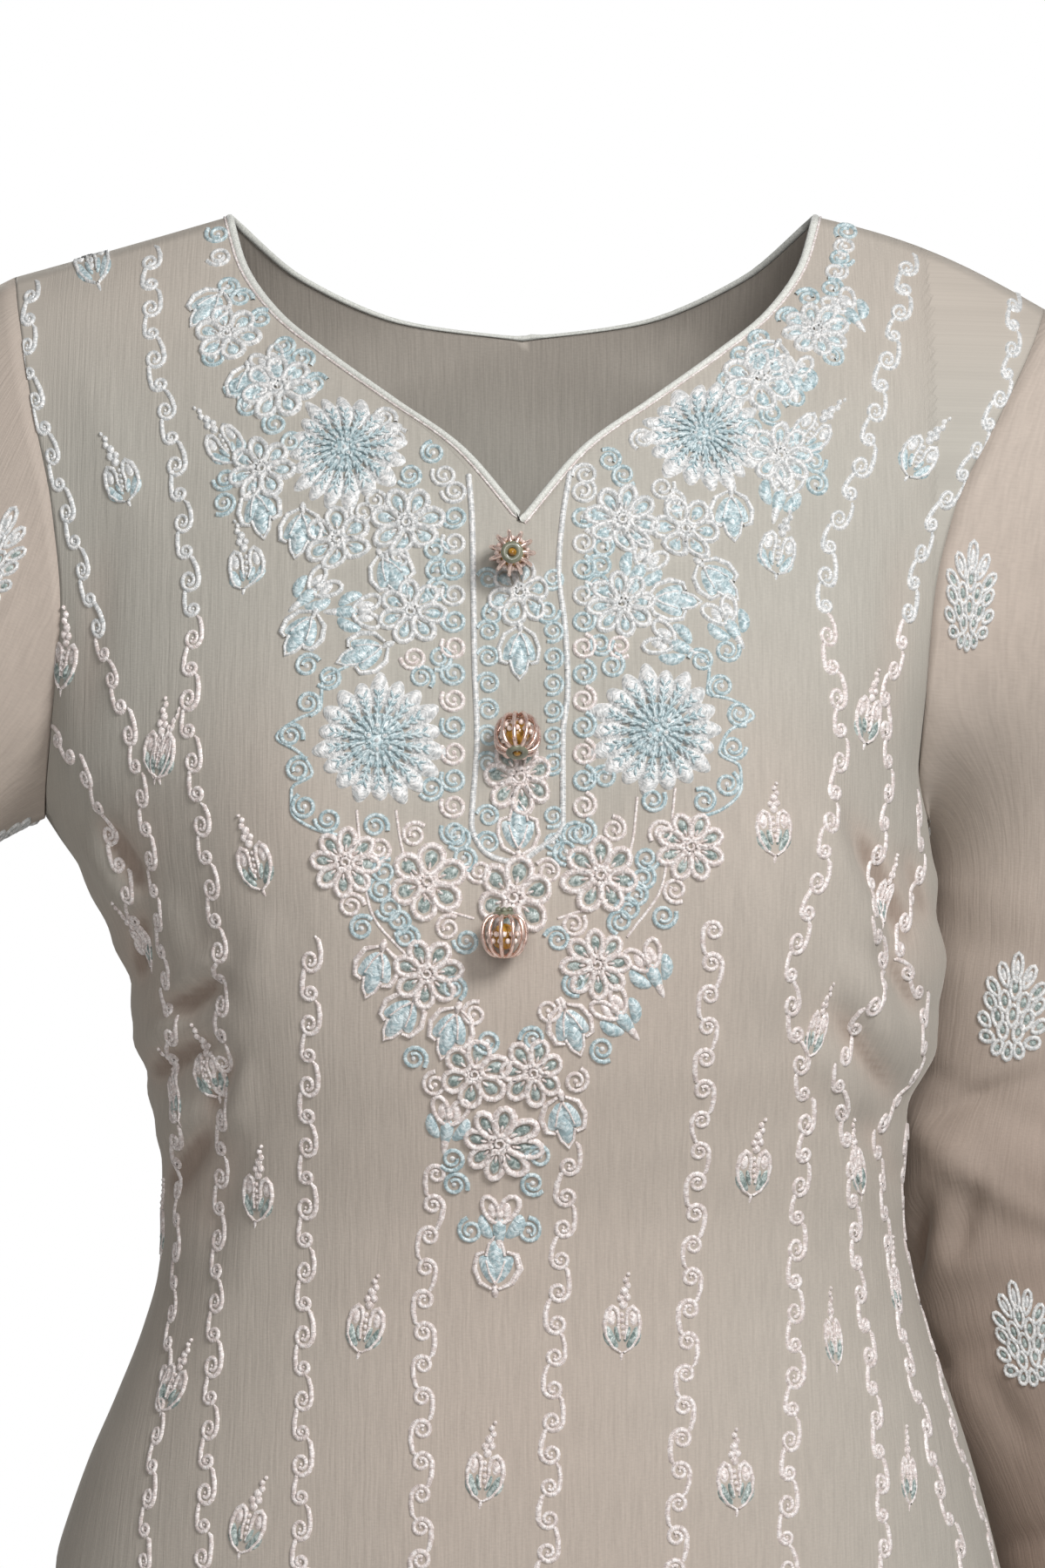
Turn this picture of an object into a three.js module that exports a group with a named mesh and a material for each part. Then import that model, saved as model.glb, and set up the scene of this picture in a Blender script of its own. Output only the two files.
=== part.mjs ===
// A worn gharara suit: a long embroidered kameez over a pair of gharara trousers.
// Millimetres, +Z up. The front faces -Y and the wearer's left side is +X.
// The origin lies between the two high shoulder points, where the suit is carried.
import * as THREE from 'three';

// ---- cloth and seams ----
const KAMEEZ_CLOTH = 1.4;
const TROUSER_CLOTH = 1.6;
const SEAM_GAP = 0.3;

// ---- levels, measured down from the high shoulder point ----
const ARMPIT_Z = -243;
const NECK_POINT_Z = -128.5;
const BACK_NECK_Z = -45;
const SLIT_TOP_Z = { left: -548, right: -526 };
const KAMEEZ_HEM_Z = -900;
const WAISTBAND_TOP_Z = -395;
const WAISTBAND_BASE_Z = -430;
const CROTCH_Z = -660;
const KNEE_SEAM_Z = -930;
const FLARE_HEM_Z = -1395;

// ---- how finely each piece is divided ----
const HALF_PANEL_COLUMNS = 10;
const YOKE_ROWS = 12;
const NECK_POINT_ROW = 5;
const BACK_NECK_ROW = 8;
const CAP_ROWS = 4;
const ARM_ROWS = 10;
const CROTCH_COLUMNS = 6;
const FLARE_WAVES = 18;
const COLUMNS_PER_WAVE = 4;
const FLARE_ROWS = 5;

/** Rows of numbers under named columns, as objects. */
function table(names, rows) {
  const keys = names.split(' ');
  return rows.map((row) => Object.fromEntries(keys.map((key, i) => [key, row[i]])));
}

// Kameez rings from hem to armpit: half widths to each side, and depths of front and back.
const KAMEEZ_RINGS = table('z right left front back', [
  [-900, -240, 240, -114, 110],
  [-800, -228, 229, -114, 114],
  [-700, -216, 217, -114, 119],
  [-600, -203, 205, -113, 123],
  [-547, -190, 193, -111, 121],
  [-505, -176, 182, -107, 113],
  [-477, -164, 173, -103, 103],
  [-449, -153, 163, -99, 92],
  [-427, -147, 157, -97, 84],
  [-406, -145, 154, -97, 80],
  [-366, -148, 155, -104, 84],
  [-336, -155, 166, -110, 90],
  [-306, -160, 170, -112, 95],
  [-281, -170, 168, -111, 97],
  [-265, -179, 166, -109, 97],
  [-243, -193, 163, -104, 95],
]);
const SIDE_SEAM_Y = 4;
const RING_POWER = 2.3;
const KAMEEZ_ROW_LEVELS = [
  -900, -800, -700, -620, -575, -548, -526, -505, -477, -449,
  -427, -404, -382, -358, -332, -306, -281, -262, -243,
];

// Centre front from the armpit level to the point of the neckline.
const CENTRE_FRONT = table('z y', [[-243, -104], [-200, -99], [-160, -90], [-128.5, -80]]);
const CENTRE_BACK = table('z y', [[-243, 95], [-180, 92], [-120, 84], [-80, 74], [-45, 60]]);

// The V neckline from its point up to the high shoulder point.
const FRONT_NECKLINE = table('run x y z', [
  [0, 0, -80, -128.5],
  [0.2, 26, -68, -98],
  [0.4, 52, -55, -79],
  [0.58, 79, -40, -59],
  [0.74, 99, -25, -42],
  [0.88, 113.5, -9, -21],
  [1, 120, 7, 0],
]);
const BACK_NECKLINE = table('run x y z', [
  [0, 0, 60, -45],
  [0.4, 48, 55, -39],
  [0.75, 92, 36, -22],
  [1, 120, 7, 0],
]);

// Armhole seams from armpit to shoulder tip, for front and back on each side.
const ARMHOLES = {
  right: {
    front: table('run x y z', [
      [0, -193, 4, -243], [0.12, -190, -22, -228], [0.3, -186, -38, -196], [0.5, -183, -43, -160],
      [0.7, -187, -38, -120], [0.85, -196, -27, -78], [0.95, -203, -10, -40], [1, -206, 7, -24.5],
    ]),
    back: table('run x y z', [
      [0, -193, 4, -243], [0.12, -190, 30, -228], [0.3, -185, 52, -196], [0.5, -182, 60, -160],
      [0.7, -186, 56, -120], [0.85, -195, 44, -78], [0.95, -203, 24, -40], [1, -206, 7, -24.5],
    ]),
  },
  left: {
    front: table('run x y z', [
      [0, 163, 4, -243], [0.12, 158, -20, -226], [0.3, 160, -42, -190], [0.5, 163, -46, -155],
      [0.7, 172, -42, -119], [0.85, 190, -30, -84], [0.95, 206, -10, -52], [1, 212, 7, -37.5],
    ]),
    back: table('run x y z', [
      [0, 163, 4, -243], [0.12, 160, 30, -227], [0.3, 164, 54, -190], [0.5, 168, 62, -155],
      [0.7, 177, 58, -119], [0.85, 192, 46, -84], [0.95, 206, 26, -52], [1, 212, 7, -37.5],
    ]),
  },
};
const SHOULDER_ROUND = { most: 9, over: 0.95, forward: 0.8, up: 0.45 };
const SHOULDER_SEAM_ROUND = { right: -1, left: 4 };
const YOKE_FLAT_FROM = 0.9;

// The darts let the front stand out over the bust.
const BUST = { apart: 88, z: -236, proud: 13, wide: 50, tall: 58 };

// The largest drag folds: a line on the panel, seen from in front, and how deep and wide it is.
const FRONT_FOLDS = table('x1 z1 x2 z2 depth width', [
  [-124, -303, -142, -340, -5, 15],
  [-118, -344, -132, -392, -5, 15],
  [-104, -306, -128, -352, 4, 17],
  [112, -262, 150, -322, 4, 17],
  [136, -262, 158, -300, -4, 14],
  [104, -318, 128, -366, -4, 16],
  [-150, -250, -160, -300, -4, 14],
  [128, -366, 146, -420, 4, 16],
]);
const BACK_FOLDS = table('x1 z1 x2 z2 depth width', [
  [-112, -330, 40, -372, -4, 16],
  [108, -352, -30, -392, 4, 17],
  [124, -300, 60, -340, -4, 15],
  [-132, -268, -80, -310, 4, 16],
]);
// Folds and darts fade towards the side seam by these powers.
const FOLD_FREE = 4;
const BUST_FREE = 6;
const HEM_RIPPLE = { depth: 8, waves: 2.5, from: -600 };
const SLIT_SPREAD = 0.22;
const SLIT_SPREAD_WITHIN = 36;

// The middle of each sleeve below its cap, and its half sizes.
const ARMS = {
  right: table('run x y z wide deep', [
    [0, -273, 8, -238, 58, 47],
    [0.25, -310, 12, -322, 57, 46],
    [0.5, -325, 4, -405, 54, 43],
    [0.75, -333, -8, -495, 49, 39],
    [1, -336, -18, -582, 46, 36],
  ]),
  left: table('run x y z wide deep', [
    [0, 221, 51, -274, 58, 46],
    [0.16, 217, 54, -322, 58, 45],
    [0.4, 208, 56, -400, 57, 44],
    [0.62, 220, 57, -470, 52, 41],
    [0.86, 243, 58, -547, 48, 38],
    [1, 252, 56, -592, 47, 36],
  ]),
};
// Near the cap a sleeve leaves its armhole seam along this direction, from the armpit to the top.
const CAP_LEAVE = { x: [0.86, 0.9], z: [-0.5, -0.42] };
const CAP_CLEAR = { armpit: 2.6, top: 0.5, rise: 2.2 };
const CAP_REACH = 0.38;
const ARM_STEP = 0.05;
const SLEEVE_FOLD = { slant: 0.06, twist: 4, across: 0.6 };
const SLEEVE_FOLDS = table('run depth width turn', [
  [0.1, -4, 0.05, 0.4],
  [0.3, 6, 0.05, -0.8],
  [0.44, -6, 0.05, 0.9],
  [0.6, 5, 0.05, -0.3],
  [0.8, -4, 0.05, 0.6],
]);

// Trousers: how far their hip lies inside the kameez, then one round leg at the knee.
const TROUSER_INSET = table('z inset', [
  [-660, 24], [-610, 12], [-575, 9], [-545, 5.5], [-505, 2.1], [-468, 4], [-430, 6], [-395, 6],
]);
const TROUSER_UPPER_LEVELS = [-660, -618, -575, -548, -505, -477];
const TROUSER_LOWER_LEVELS = [-930, -865, -795, -725];
const KNEE = { x: 98, wide: 80, deep: 86 };
const LEG_OPENING_ANGLE = THREE.MathUtils.degToRad(140);
const CROTCH_CLEAR = 2.5;

// One flare at its hem, widest away from the other leg.
const FLARE_HEM = { middle: 118, inner: 96, outer: 214, deep: 210 };
const FLARE_WAVE = { top: 2.2, hem: 19, inner_hem: 4.5 };
const FLARE_UNEVEN = { size: 0.32, first: 5, shift: 0.6, second: 3, sway: 0.04, sways: 4 };
const FLARE_OPENS = 0.7;

// Piping round the neck and the three hanging cage buttons.
const PIPING = { wide: 3, thick: 2, sides: 6, corner: 0.5 };
const NEXT_TO_EDGE = 0.04;
const BUTTONS = table('name x z tilt', [
  ['button_top', -4, -141, 90],
  ['button_middle', -2, -210, 145],
  ['button_bottom', -7, -289, 0],
]);
const BUTTON = { radius: 8.5, height: 17, rib: 0.6, ribs: 8 };
const BUTTON_CAP = { radius: 4.2, height: 2.7, taper: 0.8 };
const BUTTON_TURNS = [0.18, 0.36, 0.54, 0.72, 0.86];
const BUTTON_LEAN = 0.4;

// ---- shared sums ----

/** A table's column at a key's value, by a monotone cubic through its rows. */
function track(rows, key, name, at) {
  const last = rows.length - 1;
  if (at <= rows[0][key]) return rows[0][name];
  if (at >= rows[last][key]) return rows[last][name];
  let i = 0;
  while (at > rows[i + 1][key]) i += 1;
  const slope = (j) => (rows[j + 1][name] - rows[j][name]) / (rows[j + 1][key] - rows[j][key]);
  const tangent = (j) => {
    if (j === 0) return slope(0);
    if (j === last) return slope(last - 1);
    const before = slope(j - 1);
    const after = slope(j);
    return before * after <= 0 ? 0 : (2 * before * after) / (before + after);
  };
  const span = rows[i + 1][key] - rows[i][key];
  const t = (at - rows[i][key]) / span;
  const t2 = t * t;
  const t3 = t2 * t;
  return (2 * t3 - 3 * t2 + 1) * rows[i][name] + (t3 - 2 * t2 + t) * span * tangent(i)
    + (3 * t2 - 2 * t3) * rows[i + 1][name] + (t3 - t2) * span * tangent(i + 1);
}

const mix = THREE.MathUtils.lerp;
const ease = (t) => THREE.MathUtils.smoothstep(t, 0, 1);
const sign = (side) => (side === 'left' ? 1 : -1);

/** A point on a table of x, y and z. */
function trackPoint(rows, at) {
  return new THREE.Vector3(...['x', 'y', 'z'].map((name) => track(rows, 'run', name, at)));
}

/** How much a fold line lifts the cloth at a place seen from in front. */
function foldLift(folds, x, z) {
  let lift = 0;
  for (const fold of folds) {
    const dx = fold.x2 - fold.x1;
    const dz = fold.z2 - fold.z1;
    const length2 = dx * dx + dz * dz;
    const raw = ((x - fold.x1) * dx + (z - fold.z1) * dz) / length2;
    const t = THREE.MathUtils.clamp(raw, 0, 1);
    const away = Math.hypot(x - fold.x1 - t * dx, z - fold.z1 - t * dz);
    lift += fold.depth * Math.exp(-((away / fold.width) ** 2));
  }
  return lift;
}

/** How far the bust darts push the front out. */
function bustLift(x, z) {
  const across = (Math.abs(x) - BUST.apart) / BUST.wide;
  const down = (z - BUST.z) / BUST.tall;
  return BUST.proud * Math.exp(-(across * across) - down * down);
}

// ---- kameez body ----

/** A ring's point from the centre line (t = 0) to the side seam (t = 1), below the armpit. */
function ringPoint(face, side, z, t, inset = 0) {
  const across = track(KAMEEZ_RINGS, 'z', side, z) - sign(side) * inset;
  const depth = track(KAMEEZ_RINGS, 'z', face, z) - (face === 'front' ? -inset : inset);
  const angle = (t * Math.PI) / 2;
  const x = across * Math.sin(angle) ** (2 / RING_POWER);
  const y = SIDE_SEAM_Y + (depth - SIDE_SEAM_Y) * Math.max(Math.cos(angle), 0) ** (2 / RING_POWER);
  return new THREE.Vector3(x, y, z);
}

/** The share of the half ring that a panel gives up where its side slit is open. */
function slitSpread(side, z) {
  return SLIT_SPREAD * ease((SLIT_TOP_Z[side] - z) / SLIT_SPREAD_WITHIN);
}

/** A row of the yoke runs from the centre line or neckline (t = 0) to the armhole (t = 1). */
function yokePoint(face, side, run, t) {
  const front = face === 'front';
  const neckRow = (front ? NECK_POINT_ROW : BACK_NECK_ROW) / YOKE_ROWS;
  const neckZ = front ? NECK_POINT_Z : BACK_NECK_Z;
  const inner = new THREE.Vector3();
  if (run <= neckRow) {
    inner.z = mix(ARMPIT_Z, neckZ, run / neckRow);
    inner.y = track(front ? CENTRE_FRONT : CENTRE_BACK, 'z', 'y', inner.z);
  } else {
    const climb = (run - neckRow) / (1 - neckRow);
    inner.copy(trackPoint(front ? FRONT_NECKLINE : BACK_NECKLINE, climb));
    inner.x *= sign(side);
  }
  const outer = trackPoint(ARMHOLES[side][face], run);
  const flat = ease(run / YOKE_FLAT_FROM);
  const angle = (t * Math.PI) / 2;
  const roundX = Math.sin(angle) ** (2 / RING_POWER);
  const roundY = 1 - Math.max(Math.cos(angle), 0) ** (2 / RING_POWER);
  const swell = Math.sin(Math.PI * t) * SHOULDER_ROUND.most * Math.sin(Math.PI * run * SHOULDER_ROUND.over);
  const up = Math.sin(Math.PI * t) * SHOULDER_SEAM_ROUND[side] * run;
  return new THREE.Vector3(
    mix(inner.x, outer.x, mix(roundX, t, flat)),
    mix(inner.y, outer.y, mix(roundY, t, flat)) + (front ? -swell : swell) * SHOULDER_ROUND.forward,
    mix(inner.z, outer.z, t) + up + swell * SHOULDER_ROUND.up * run,
  );
}

/** A kameez point: level 0 is the hem, 1 the armpit and 2 the shoulder seam. */
function kameezPoint(face, side, level, t) {
  let point;
  if (level <= 1) {
    const z = mix(KAMEEZ_HEM_Z, ARMPIT_Z, level);
    point = ringPoint(face, side, z, t * (1 - slitSpread(side, z)));
    const hang = ease((HEM_RIPPLE.from - z) / (HEM_RIPPLE.from - KAMEEZ_HEM_Z));
    const wave = Math.cos(Math.PI * HEM_RIPPLE.waves * t) * HEM_RIPPLE.depth * hang;
    point.y += face === 'front' ? -wave : wave;
  } else {
    point = yokePoint(face, side, level - 1, t);
  }
  const towardsSeam = level > 1 ? 1 - ease(level - 1) : 1;
  const free = (1 - t ** FOLD_FREE) * towardsSeam;
  if (face === 'front') {
    point.y -= bustLift(point.x, point.z) * (1 - t ** BUST_FREE) * towardsSeam;
    point.y -= foldLift(FRONT_FOLDS, point.x, point.z) * free;
  } else {
    point.y += foldLift(BACK_FOLDS, point.x, point.z) * free;
  }
  return point;
}

// ---- walls ----

/** A closed wall of cloth round a middle surface of quads, which turn anticlockwise from outside. */
function clothWall(points, quads, thickness, levelNormal) {
  const normals = points.map(() => new THREE.Vector3());
  const first = new THREE.Vector3();
  const second = new THREE.Vector3();
  for (const [a, b, c, d] of quads) {
    first.subVectors(points[c], points[a]);
    second.subVectors(points[d], points[b]);
    first.cross(second);
    for (const corner of [a, b, c, d]) normals[corner].add(first);
  }
  normals.forEach((normal, i) => {
    if (levelNormal) levelNormal(normal, i);
    normal.normalize();
  });
  const count = points.length;
  const positions = [];
  for (const half of [thickness / 2, -thickness / 2]) {
    points.forEach((point, i) => positions.push(...point.clone().addScaledVector(normals[i], half)));
  }
  const used = new Set(quads.flatMap(([a, b, c, d]) => [`${a},${b}`, `${b},${c}`, `${c},${d}`, `${d},${a}`]));
  const faces = [];
  for (const [a, b, c, d] of quads) {
    faces.push(a, b, c, a, c, d);
    faces.push(count + a, count + c, count + b, count + a, count + d, count + c);
    for (const [from, to] of [[a, b], [b, c], [c, d], [d, a]]) {
      if (used.has(`${to},${from}`)) continue;
      faces.push(to, from, count + from, to, count + from, count + to);
    }
  }
  const geometry = new THREE.BufferGeometry();
  geometry.setAttribute('position', new THREE.Float32BufferAttribute(positions, 3));
  geometry.setIndex(faces);
  return geometry;
}

/** Rows of points joined by quads; a ring joins its last column to its first. */
function gridQuads(rows, columns, isRing, idOf) {
  const quads = [];
  const steps = isRing ? columns : columns - 1;
  for (let row = 0; row < rows - 1; row += 1) {
    for (let column = 0; column < steps; column += 1) {
      const next = (column + 1) % columns;
      quads.push([idOf(row, column), idOf(row, next), idOf(row + 1, next), idOf(row + 1, column)]);
    }
  }
  return quads;
}

/** The front or back of the kameez, with both halves sharing the centre line up to the neck. */
function kameezPanel(face) {
  const levels = KAMEEZ_ROW_LEVELS.map((z) => (z - KAMEEZ_HEM_Z) / (ARMPIT_Z - KAMEEZ_HEM_Z));
  for (let row = 1; row <= YOKE_ROWS; row += 1) levels.push(1 + row / YOKE_ROWS);
  const armpitRow = KAMEEZ_ROW_LEVELS.length - 1;
  const neckRow = armpitRow + (face === 'front' ? NECK_POINT_ROW : BACK_NECK_ROW);
  const points = [];
  const seams = new Set();
  const ids = { right: [], left: [] };
  const pull = ((face === 'front' ? -1 : 1) * SEAM_GAP) / 2;
  for (const side of ['left', 'right']) {
    levels.forEach((level, row) => {
      ids[side].push([]);
      for (let column = 0; column <= HALF_PANEL_COLUMNS; column += 1) {
        if (side === 'right' && column === 0 && row <= neckRow) {
          ids[side][row].push(ids.left[row][0]);
          continue;
        }
        const point = kameezPoint(face, side, level, column / HALF_PANEL_COLUMNS);
        const atSide = column === HALF_PANEL_COLUMNS && level <= 1;
        const atShoulder = row === levels.length - 1;
        if (atSide || atShoulder) {
          point.y += pull;
          seams.add(points.length);
        }
        ids[side][row].push(points.length);
        points.push(point);
      }
    });
  }
  const quads = [];
  for (const side of ['left', 'right']) {
    const half = gridQuads(levels.length, HALF_PANEL_COLUMNS + 1, false, (r, c) => ids[side][r][c]);
    const turned = (side === 'right') !== (face === 'back');
    quads.push(...(turned ? half.map(([a, b, c, d]) => [d, c, b, a]) : half));
  }
  return clothWall(points, quads, KAMEEZ_CLOTH, (normal, i) => {
    if (seams.has(i)) normal.y = 0;
  });
}

// ---- sleeves ----

const SLEEVE_COLUMNS = 2 * YOKE_ROWS;

/** The armhole's point for a sleeve column: up the front, then down the back. */
function armholePoint(side, column) {
  const upFront = column <= YOKE_ROWS;
  const run = (upFront ? column : SLEEVE_COLUMNS - column) / YOKE_ROWS;
  return trackPoint(ARMHOLES[side][upFront ? 'front' : 'back'], run);
}

/** A point of the sleeve tube, and the direction of the arm there. */
function armPoint(side, run, column) {
  const arm = ARMS[side];
  const middle = trackPoint(arm, run);
  const ahead = trackPoint(arm, Math.min(run + ARM_STEP, 1));
  const behind = trackPoint(arm, Math.max(run - ARM_STEP, 0));
  const along = ahead.sub(behind).normalize();
  const outward = new THREE.Vector3(-along.z * sign(side), 0, along.x * sign(side)).normalize();
  if (outward.x * sign(side) < 0) outward.negate();
  const back = new THREE.Vector3().crossVectors(along, outward).normalize();
  if (back.y < 0) back.negate();
  const angle = Math.PI + (column / SLEEVE_COLUMNS) * 2 * Math.PI;
  let swell = 0;
  for (const fold of SLEEVE_FOLDS) {
    const place = fold.run + SLEEVE_FOLD.slant * Math.sin(angle + fold.turn * SLEEVE_FOLD.twist);
    const share = 0.5 - 0.5 * Math.cos(angle + fold.turn);
    swell += fold.depth * share * Math.exp(-(((run - place) / fold.width) ** 2));
  }
  const wide = track(arm, 'run', 'wide', run) + swell * SLEEVE_FOLD.across;
  const deep = track(arm, 'run', 'deep', run) + swell;
  const point = middle.clone()
    .addScaledVector(outward, wide * Math.cos(angle))
    .addScaledVector(back, deep * Math.sin(angle));
  return { point, along };
}

/** The cap leaves the armhole square to its seam and turns into the line of the arm. */
function capPoint(side, share, column) {
  const start = armholePoint(side, column);
  const { point: end, along } = armPoint(side, 0, column);
  const height = column <= YOKE_ROWS ? column / YOKE_ROWS : 2 - column / YOKE_ROWS;
  const outward = sign(side) * mix(...CAP_LEAVE.x, height);
  const leave = new THREE.Vector3(outward, 0, mix(...CAP_LEAVE.z, height)).normalize();
  const clear = mix(CAP_CLEAR.armpit, CAP_CLEAR.top, ease(height * CAP_CLEAR.rise));
  start.addScaledVector(leave, SEAM_GAP + clear);
  const reach = start.distanceTo(end) * CAP_REACH;
  const curve = new THREE.CubicBezierCurve3(
    start,
    start.clone().addScaledVector(leave, reach),
    end.clone().addScaledVector(along, -reach),
    end,
  );
  return curve.getPoint(share);
}

function sleeve(side) {
  const points = [];
  const rows = CAP_ROWS + ARM_ROWS + 1;
  for (let row = 0; row < rows; row += 1) {
    for (let column = 0; column < SLEEVE_COLUMNS; column += 1) {
      if (row < CAP_ROWS) points.push(capPoint(side, row / CAP_ROWS, column));
      else points.push(armPoint(side, (row - CAP_ROWS) / ARM_ROWS, column).point);
    }
  }
  const quads = gridQuads(rows, SLEEVE_COLUMNS, true, (r, c) => r * SLEEVE_COLUMNS + c);
  const faced = side === 'left' ? quads.map(([a, b, c, d]) => [d, c, b, a]) : quads;
  return clothWall(points, faced, KAMEEZ_CLOTH);
}

// ---- gharara trousers ----

const HALF_RING_COLUMNS = 2 * HALF_PANEL_COLUMNS;
const LEG_COLUMNS = HALF_RING_COLUMNS + CROTCH_COLUMNS;

/** The hip of one leg from centre front, round the outer side, to centre back. */
function hipPoint(side, z, column) {
  const inset = track(TROUSER_INSET, 'z', 'inset', z);
  const inFront = column <= HALF_PANEL_COLUMNS;
  const t = inFront ? column / HALF_PANEL_COLUMNS : 2 - column / HALF_PANEL_COLUMNS;
  const point = ringPoint(inFront ? 'front' : 'back', side, z, t, inset);
  const atCentre = column === 0 || column === HALF_RING_COLUMNS;
  if (atCentre) point.x = (sign(side) * SEAM_GAP) / 2;
  return point;
}

/** The seam under the crotch, from centre back to centre front. */
function crotchPoint(side, column) {
  const back = hipPoint(side, CROTCH_Z, HALF_RING_COLUMNS);
  const front = hipPoint(side, CROTCH_Z, 0);
  const t = (column - HALF_RING_COLUMNS) / CROTCH_COLUMNS;
  const point = back.lerp(front, t);
  point.x = sign(side) * (SEAM_GAP / 2 + CROTCH_CLEAR * Math.sin(Math.PI * t));
  return point;
}

/** The round leg at the knee for the same columns. */
function kneePoint(side, column) {
  let angle;
  if (column <= HALF_RING_COLUMNS) {
    angle = mix(-LEG_OPENING_ANGLE, LEG_OPENING_ANGLE, column / HALF_RING_COLUMNS);
  } else {
    const t = (column - HALF_RING_COLUMNS) / CROTCH_COLUMNS;
    angle = mix(LEG_OPENING_ANGLE, 2 * Math.PI - LEG_OPENING_ANGLE, t);
  }
  const x = sign(side) * (KNEE.x + KNEE.wide * Math.cos(angle));
  return new THREE.Vector3(x, SIDE_SEAM_Y + KNEE.deep * Math.sin(angle), KNEE_SEAM_Z);
}

function legPoint(side, z, column) {
  if (z >= CROTCH_Z && column <= HALF_RING_COLUMNS) return hipPoint(side, z, column);
  const top = column <= HALF_RING_COLUMNS ? hipPoint(side, CROTCH_Z, column) : crotchPoint(side, column);
  const share = (CROTCH_Z - z) / (CROTCH_Z - KNEE_SEAM_Z);
  const point = top.lerp(kneePoint(side, column), (share + ease(share)) / 2);
  point.z = z;
  return point;
}

/** A leg is open at the centre seams above the crotch, and a tube below it. */
function trouserLeg(side) {
  const top = WAISTBAND_BASE_Z - SEAM_GAP;
  const levels = [...TROUSER_LOWER_LEVELS, ...TROUSER_UPPER_LEVELS, top];
  const crotchRow = TROUSER_LOWER_LEVELS.length;
  const points = [];
  const ids = levels.map((z, row) => {
    const columns = row <= crotchRow ? LEG_COLUMNS : HALF_RING_COLUMNS + 1;
    return Array.from({ length: columns }, (_, column) => {
      points.push(legPoint(side, z, column));
      return points.length - 1;
    });
  });
  const tube = gridQuads(crotchRow + 1, LEG_COLUMNS, true, (r, c) => ids[r][c]);
  const upperRows = levels.length - crotchRow;
  const hip = gridQuads(upperRows, HALF_RING_COLUMNS + 1, false, (r, c) => ids[crotchRow + r][c]);
  const quads = [...tube, ...hip];
  const faced = side === 'right' ? quads.map(([a, b, c, d]) => [d, c, b, a]) : quads;
  const centre = new Set();
  const level = new Set([...ids[0], ...ids[levels.length - 1]]);
  ids.slice(crotchRow).forEach((row) => [0, HALF_RING_COLUMNS].forEach((c) => centre.add(row[c])));
  return clothWall(points, faced, TROUSER_CLOTH, (normal, i) => {
    if (level.has(i)) normal.z = 0;
    if (centre.has(i)) normal.x = 0;
  });
}

/** The waistband goes round the whole hip in one ring. */
function waistband() {
  const columns = 2 * HALF_RING_COLUMNS;
  const points = [];
  for (const z of [WAISTBAND_BASE_Z, WAISTBAND_TOP_Z]) {
    for (let column = 0; column < columns; column += 1) {
      const leftSide = column <= HALF_RING_COLUMNS;
      const turn = leftSide ? column : columns - column;
      const point = hipPoint(leftSide ? 'left' : 'right', z, turn);
      if (column % HALF_RING_COLUMNS === 0) point.x = 0;
      points.push(point);
    }
  }
  const quads = gridQuads(2, columns, true, (r, c) => r * columns + c);
  return clothWall(points, quads, TROUSER_CLOTH, (normal) => {
    normal.z = 0;
  });
}

/** A flare falls from the knee seam in gathers that open into waves at the hem. */
function flarePoint(side, share, turn) {
  const angle = turn * 2 * Math.PI;
  const across = Math.cos(angle);
  const open = (share + share ** FLARE_OPENS) / 2;
  const reach = mix(KNEE.wide, across < 0 ? FLARE_HEM.inner : FLARE_HEM.outer, open);
  const deep = mix(KNEE.deep, FLARE_HEM.deep, open);
  const middle = mix(KNEE.x, FLARE_HEM.middle, open);
  const innerSide = ease(Math.max(-across, 0));
  const hemWave = mix(FLARE_WAVE.hem, FLARE_WAVE.inner_hem, innerSide);
  const { first, shift, second, sway, sways } = FLARE_UNEVEN;
  const size = 1 + FLARE_UNEVEN.size * Math.sin(angle * first + shift) * Math.cos(angle * second);
  const phase = FLARE_WAVES * (angle + sway * share * Math.sin(angle * sways));
  const wave = mix(FLARE_WAVE.top, hemWave * size, open) * Math.cos(phase);
  const x = sign(side) * (middle + (reach + wave) * across);
  const y = SIDE_SEAM_Y + (deep + wave) * Math.sin(angle);
  return new THREE.Vector3(x, y, mix(KNEE_SEAM_Z - SEAM_GAP, FLARE_HEM_Z, share));
}

function flare(side) {
  const columns = FLARE_WAVES * COLUMNS_PER_WAVE;
  const points = [];
  for (let row = FLARE_ROWS; row >= 0; row -= 1) {
    for (let column = 0; column < columns; column += 1) {
      points.push(flarePoint(side, row / FLARE_ROWS, (column + 0.5) / columns));
    }
  }
  const quads = gridQuads(FLARE_ROWS + 1, columns, true, (r, c) => r * columns + c);
  const faced = side === 'right' ? quads.map(([a, b, c, d]) => [d, c, b, a]) : quads;
  const topRow = FLARE_ROWS * columns;
  return clothWall(points, faced, TROUSER_CLOTH, (normal, i) => {
    if (i >= topRow || i < columns) normal.z = 0;
  });
}

// ---- trimmings ----

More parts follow.
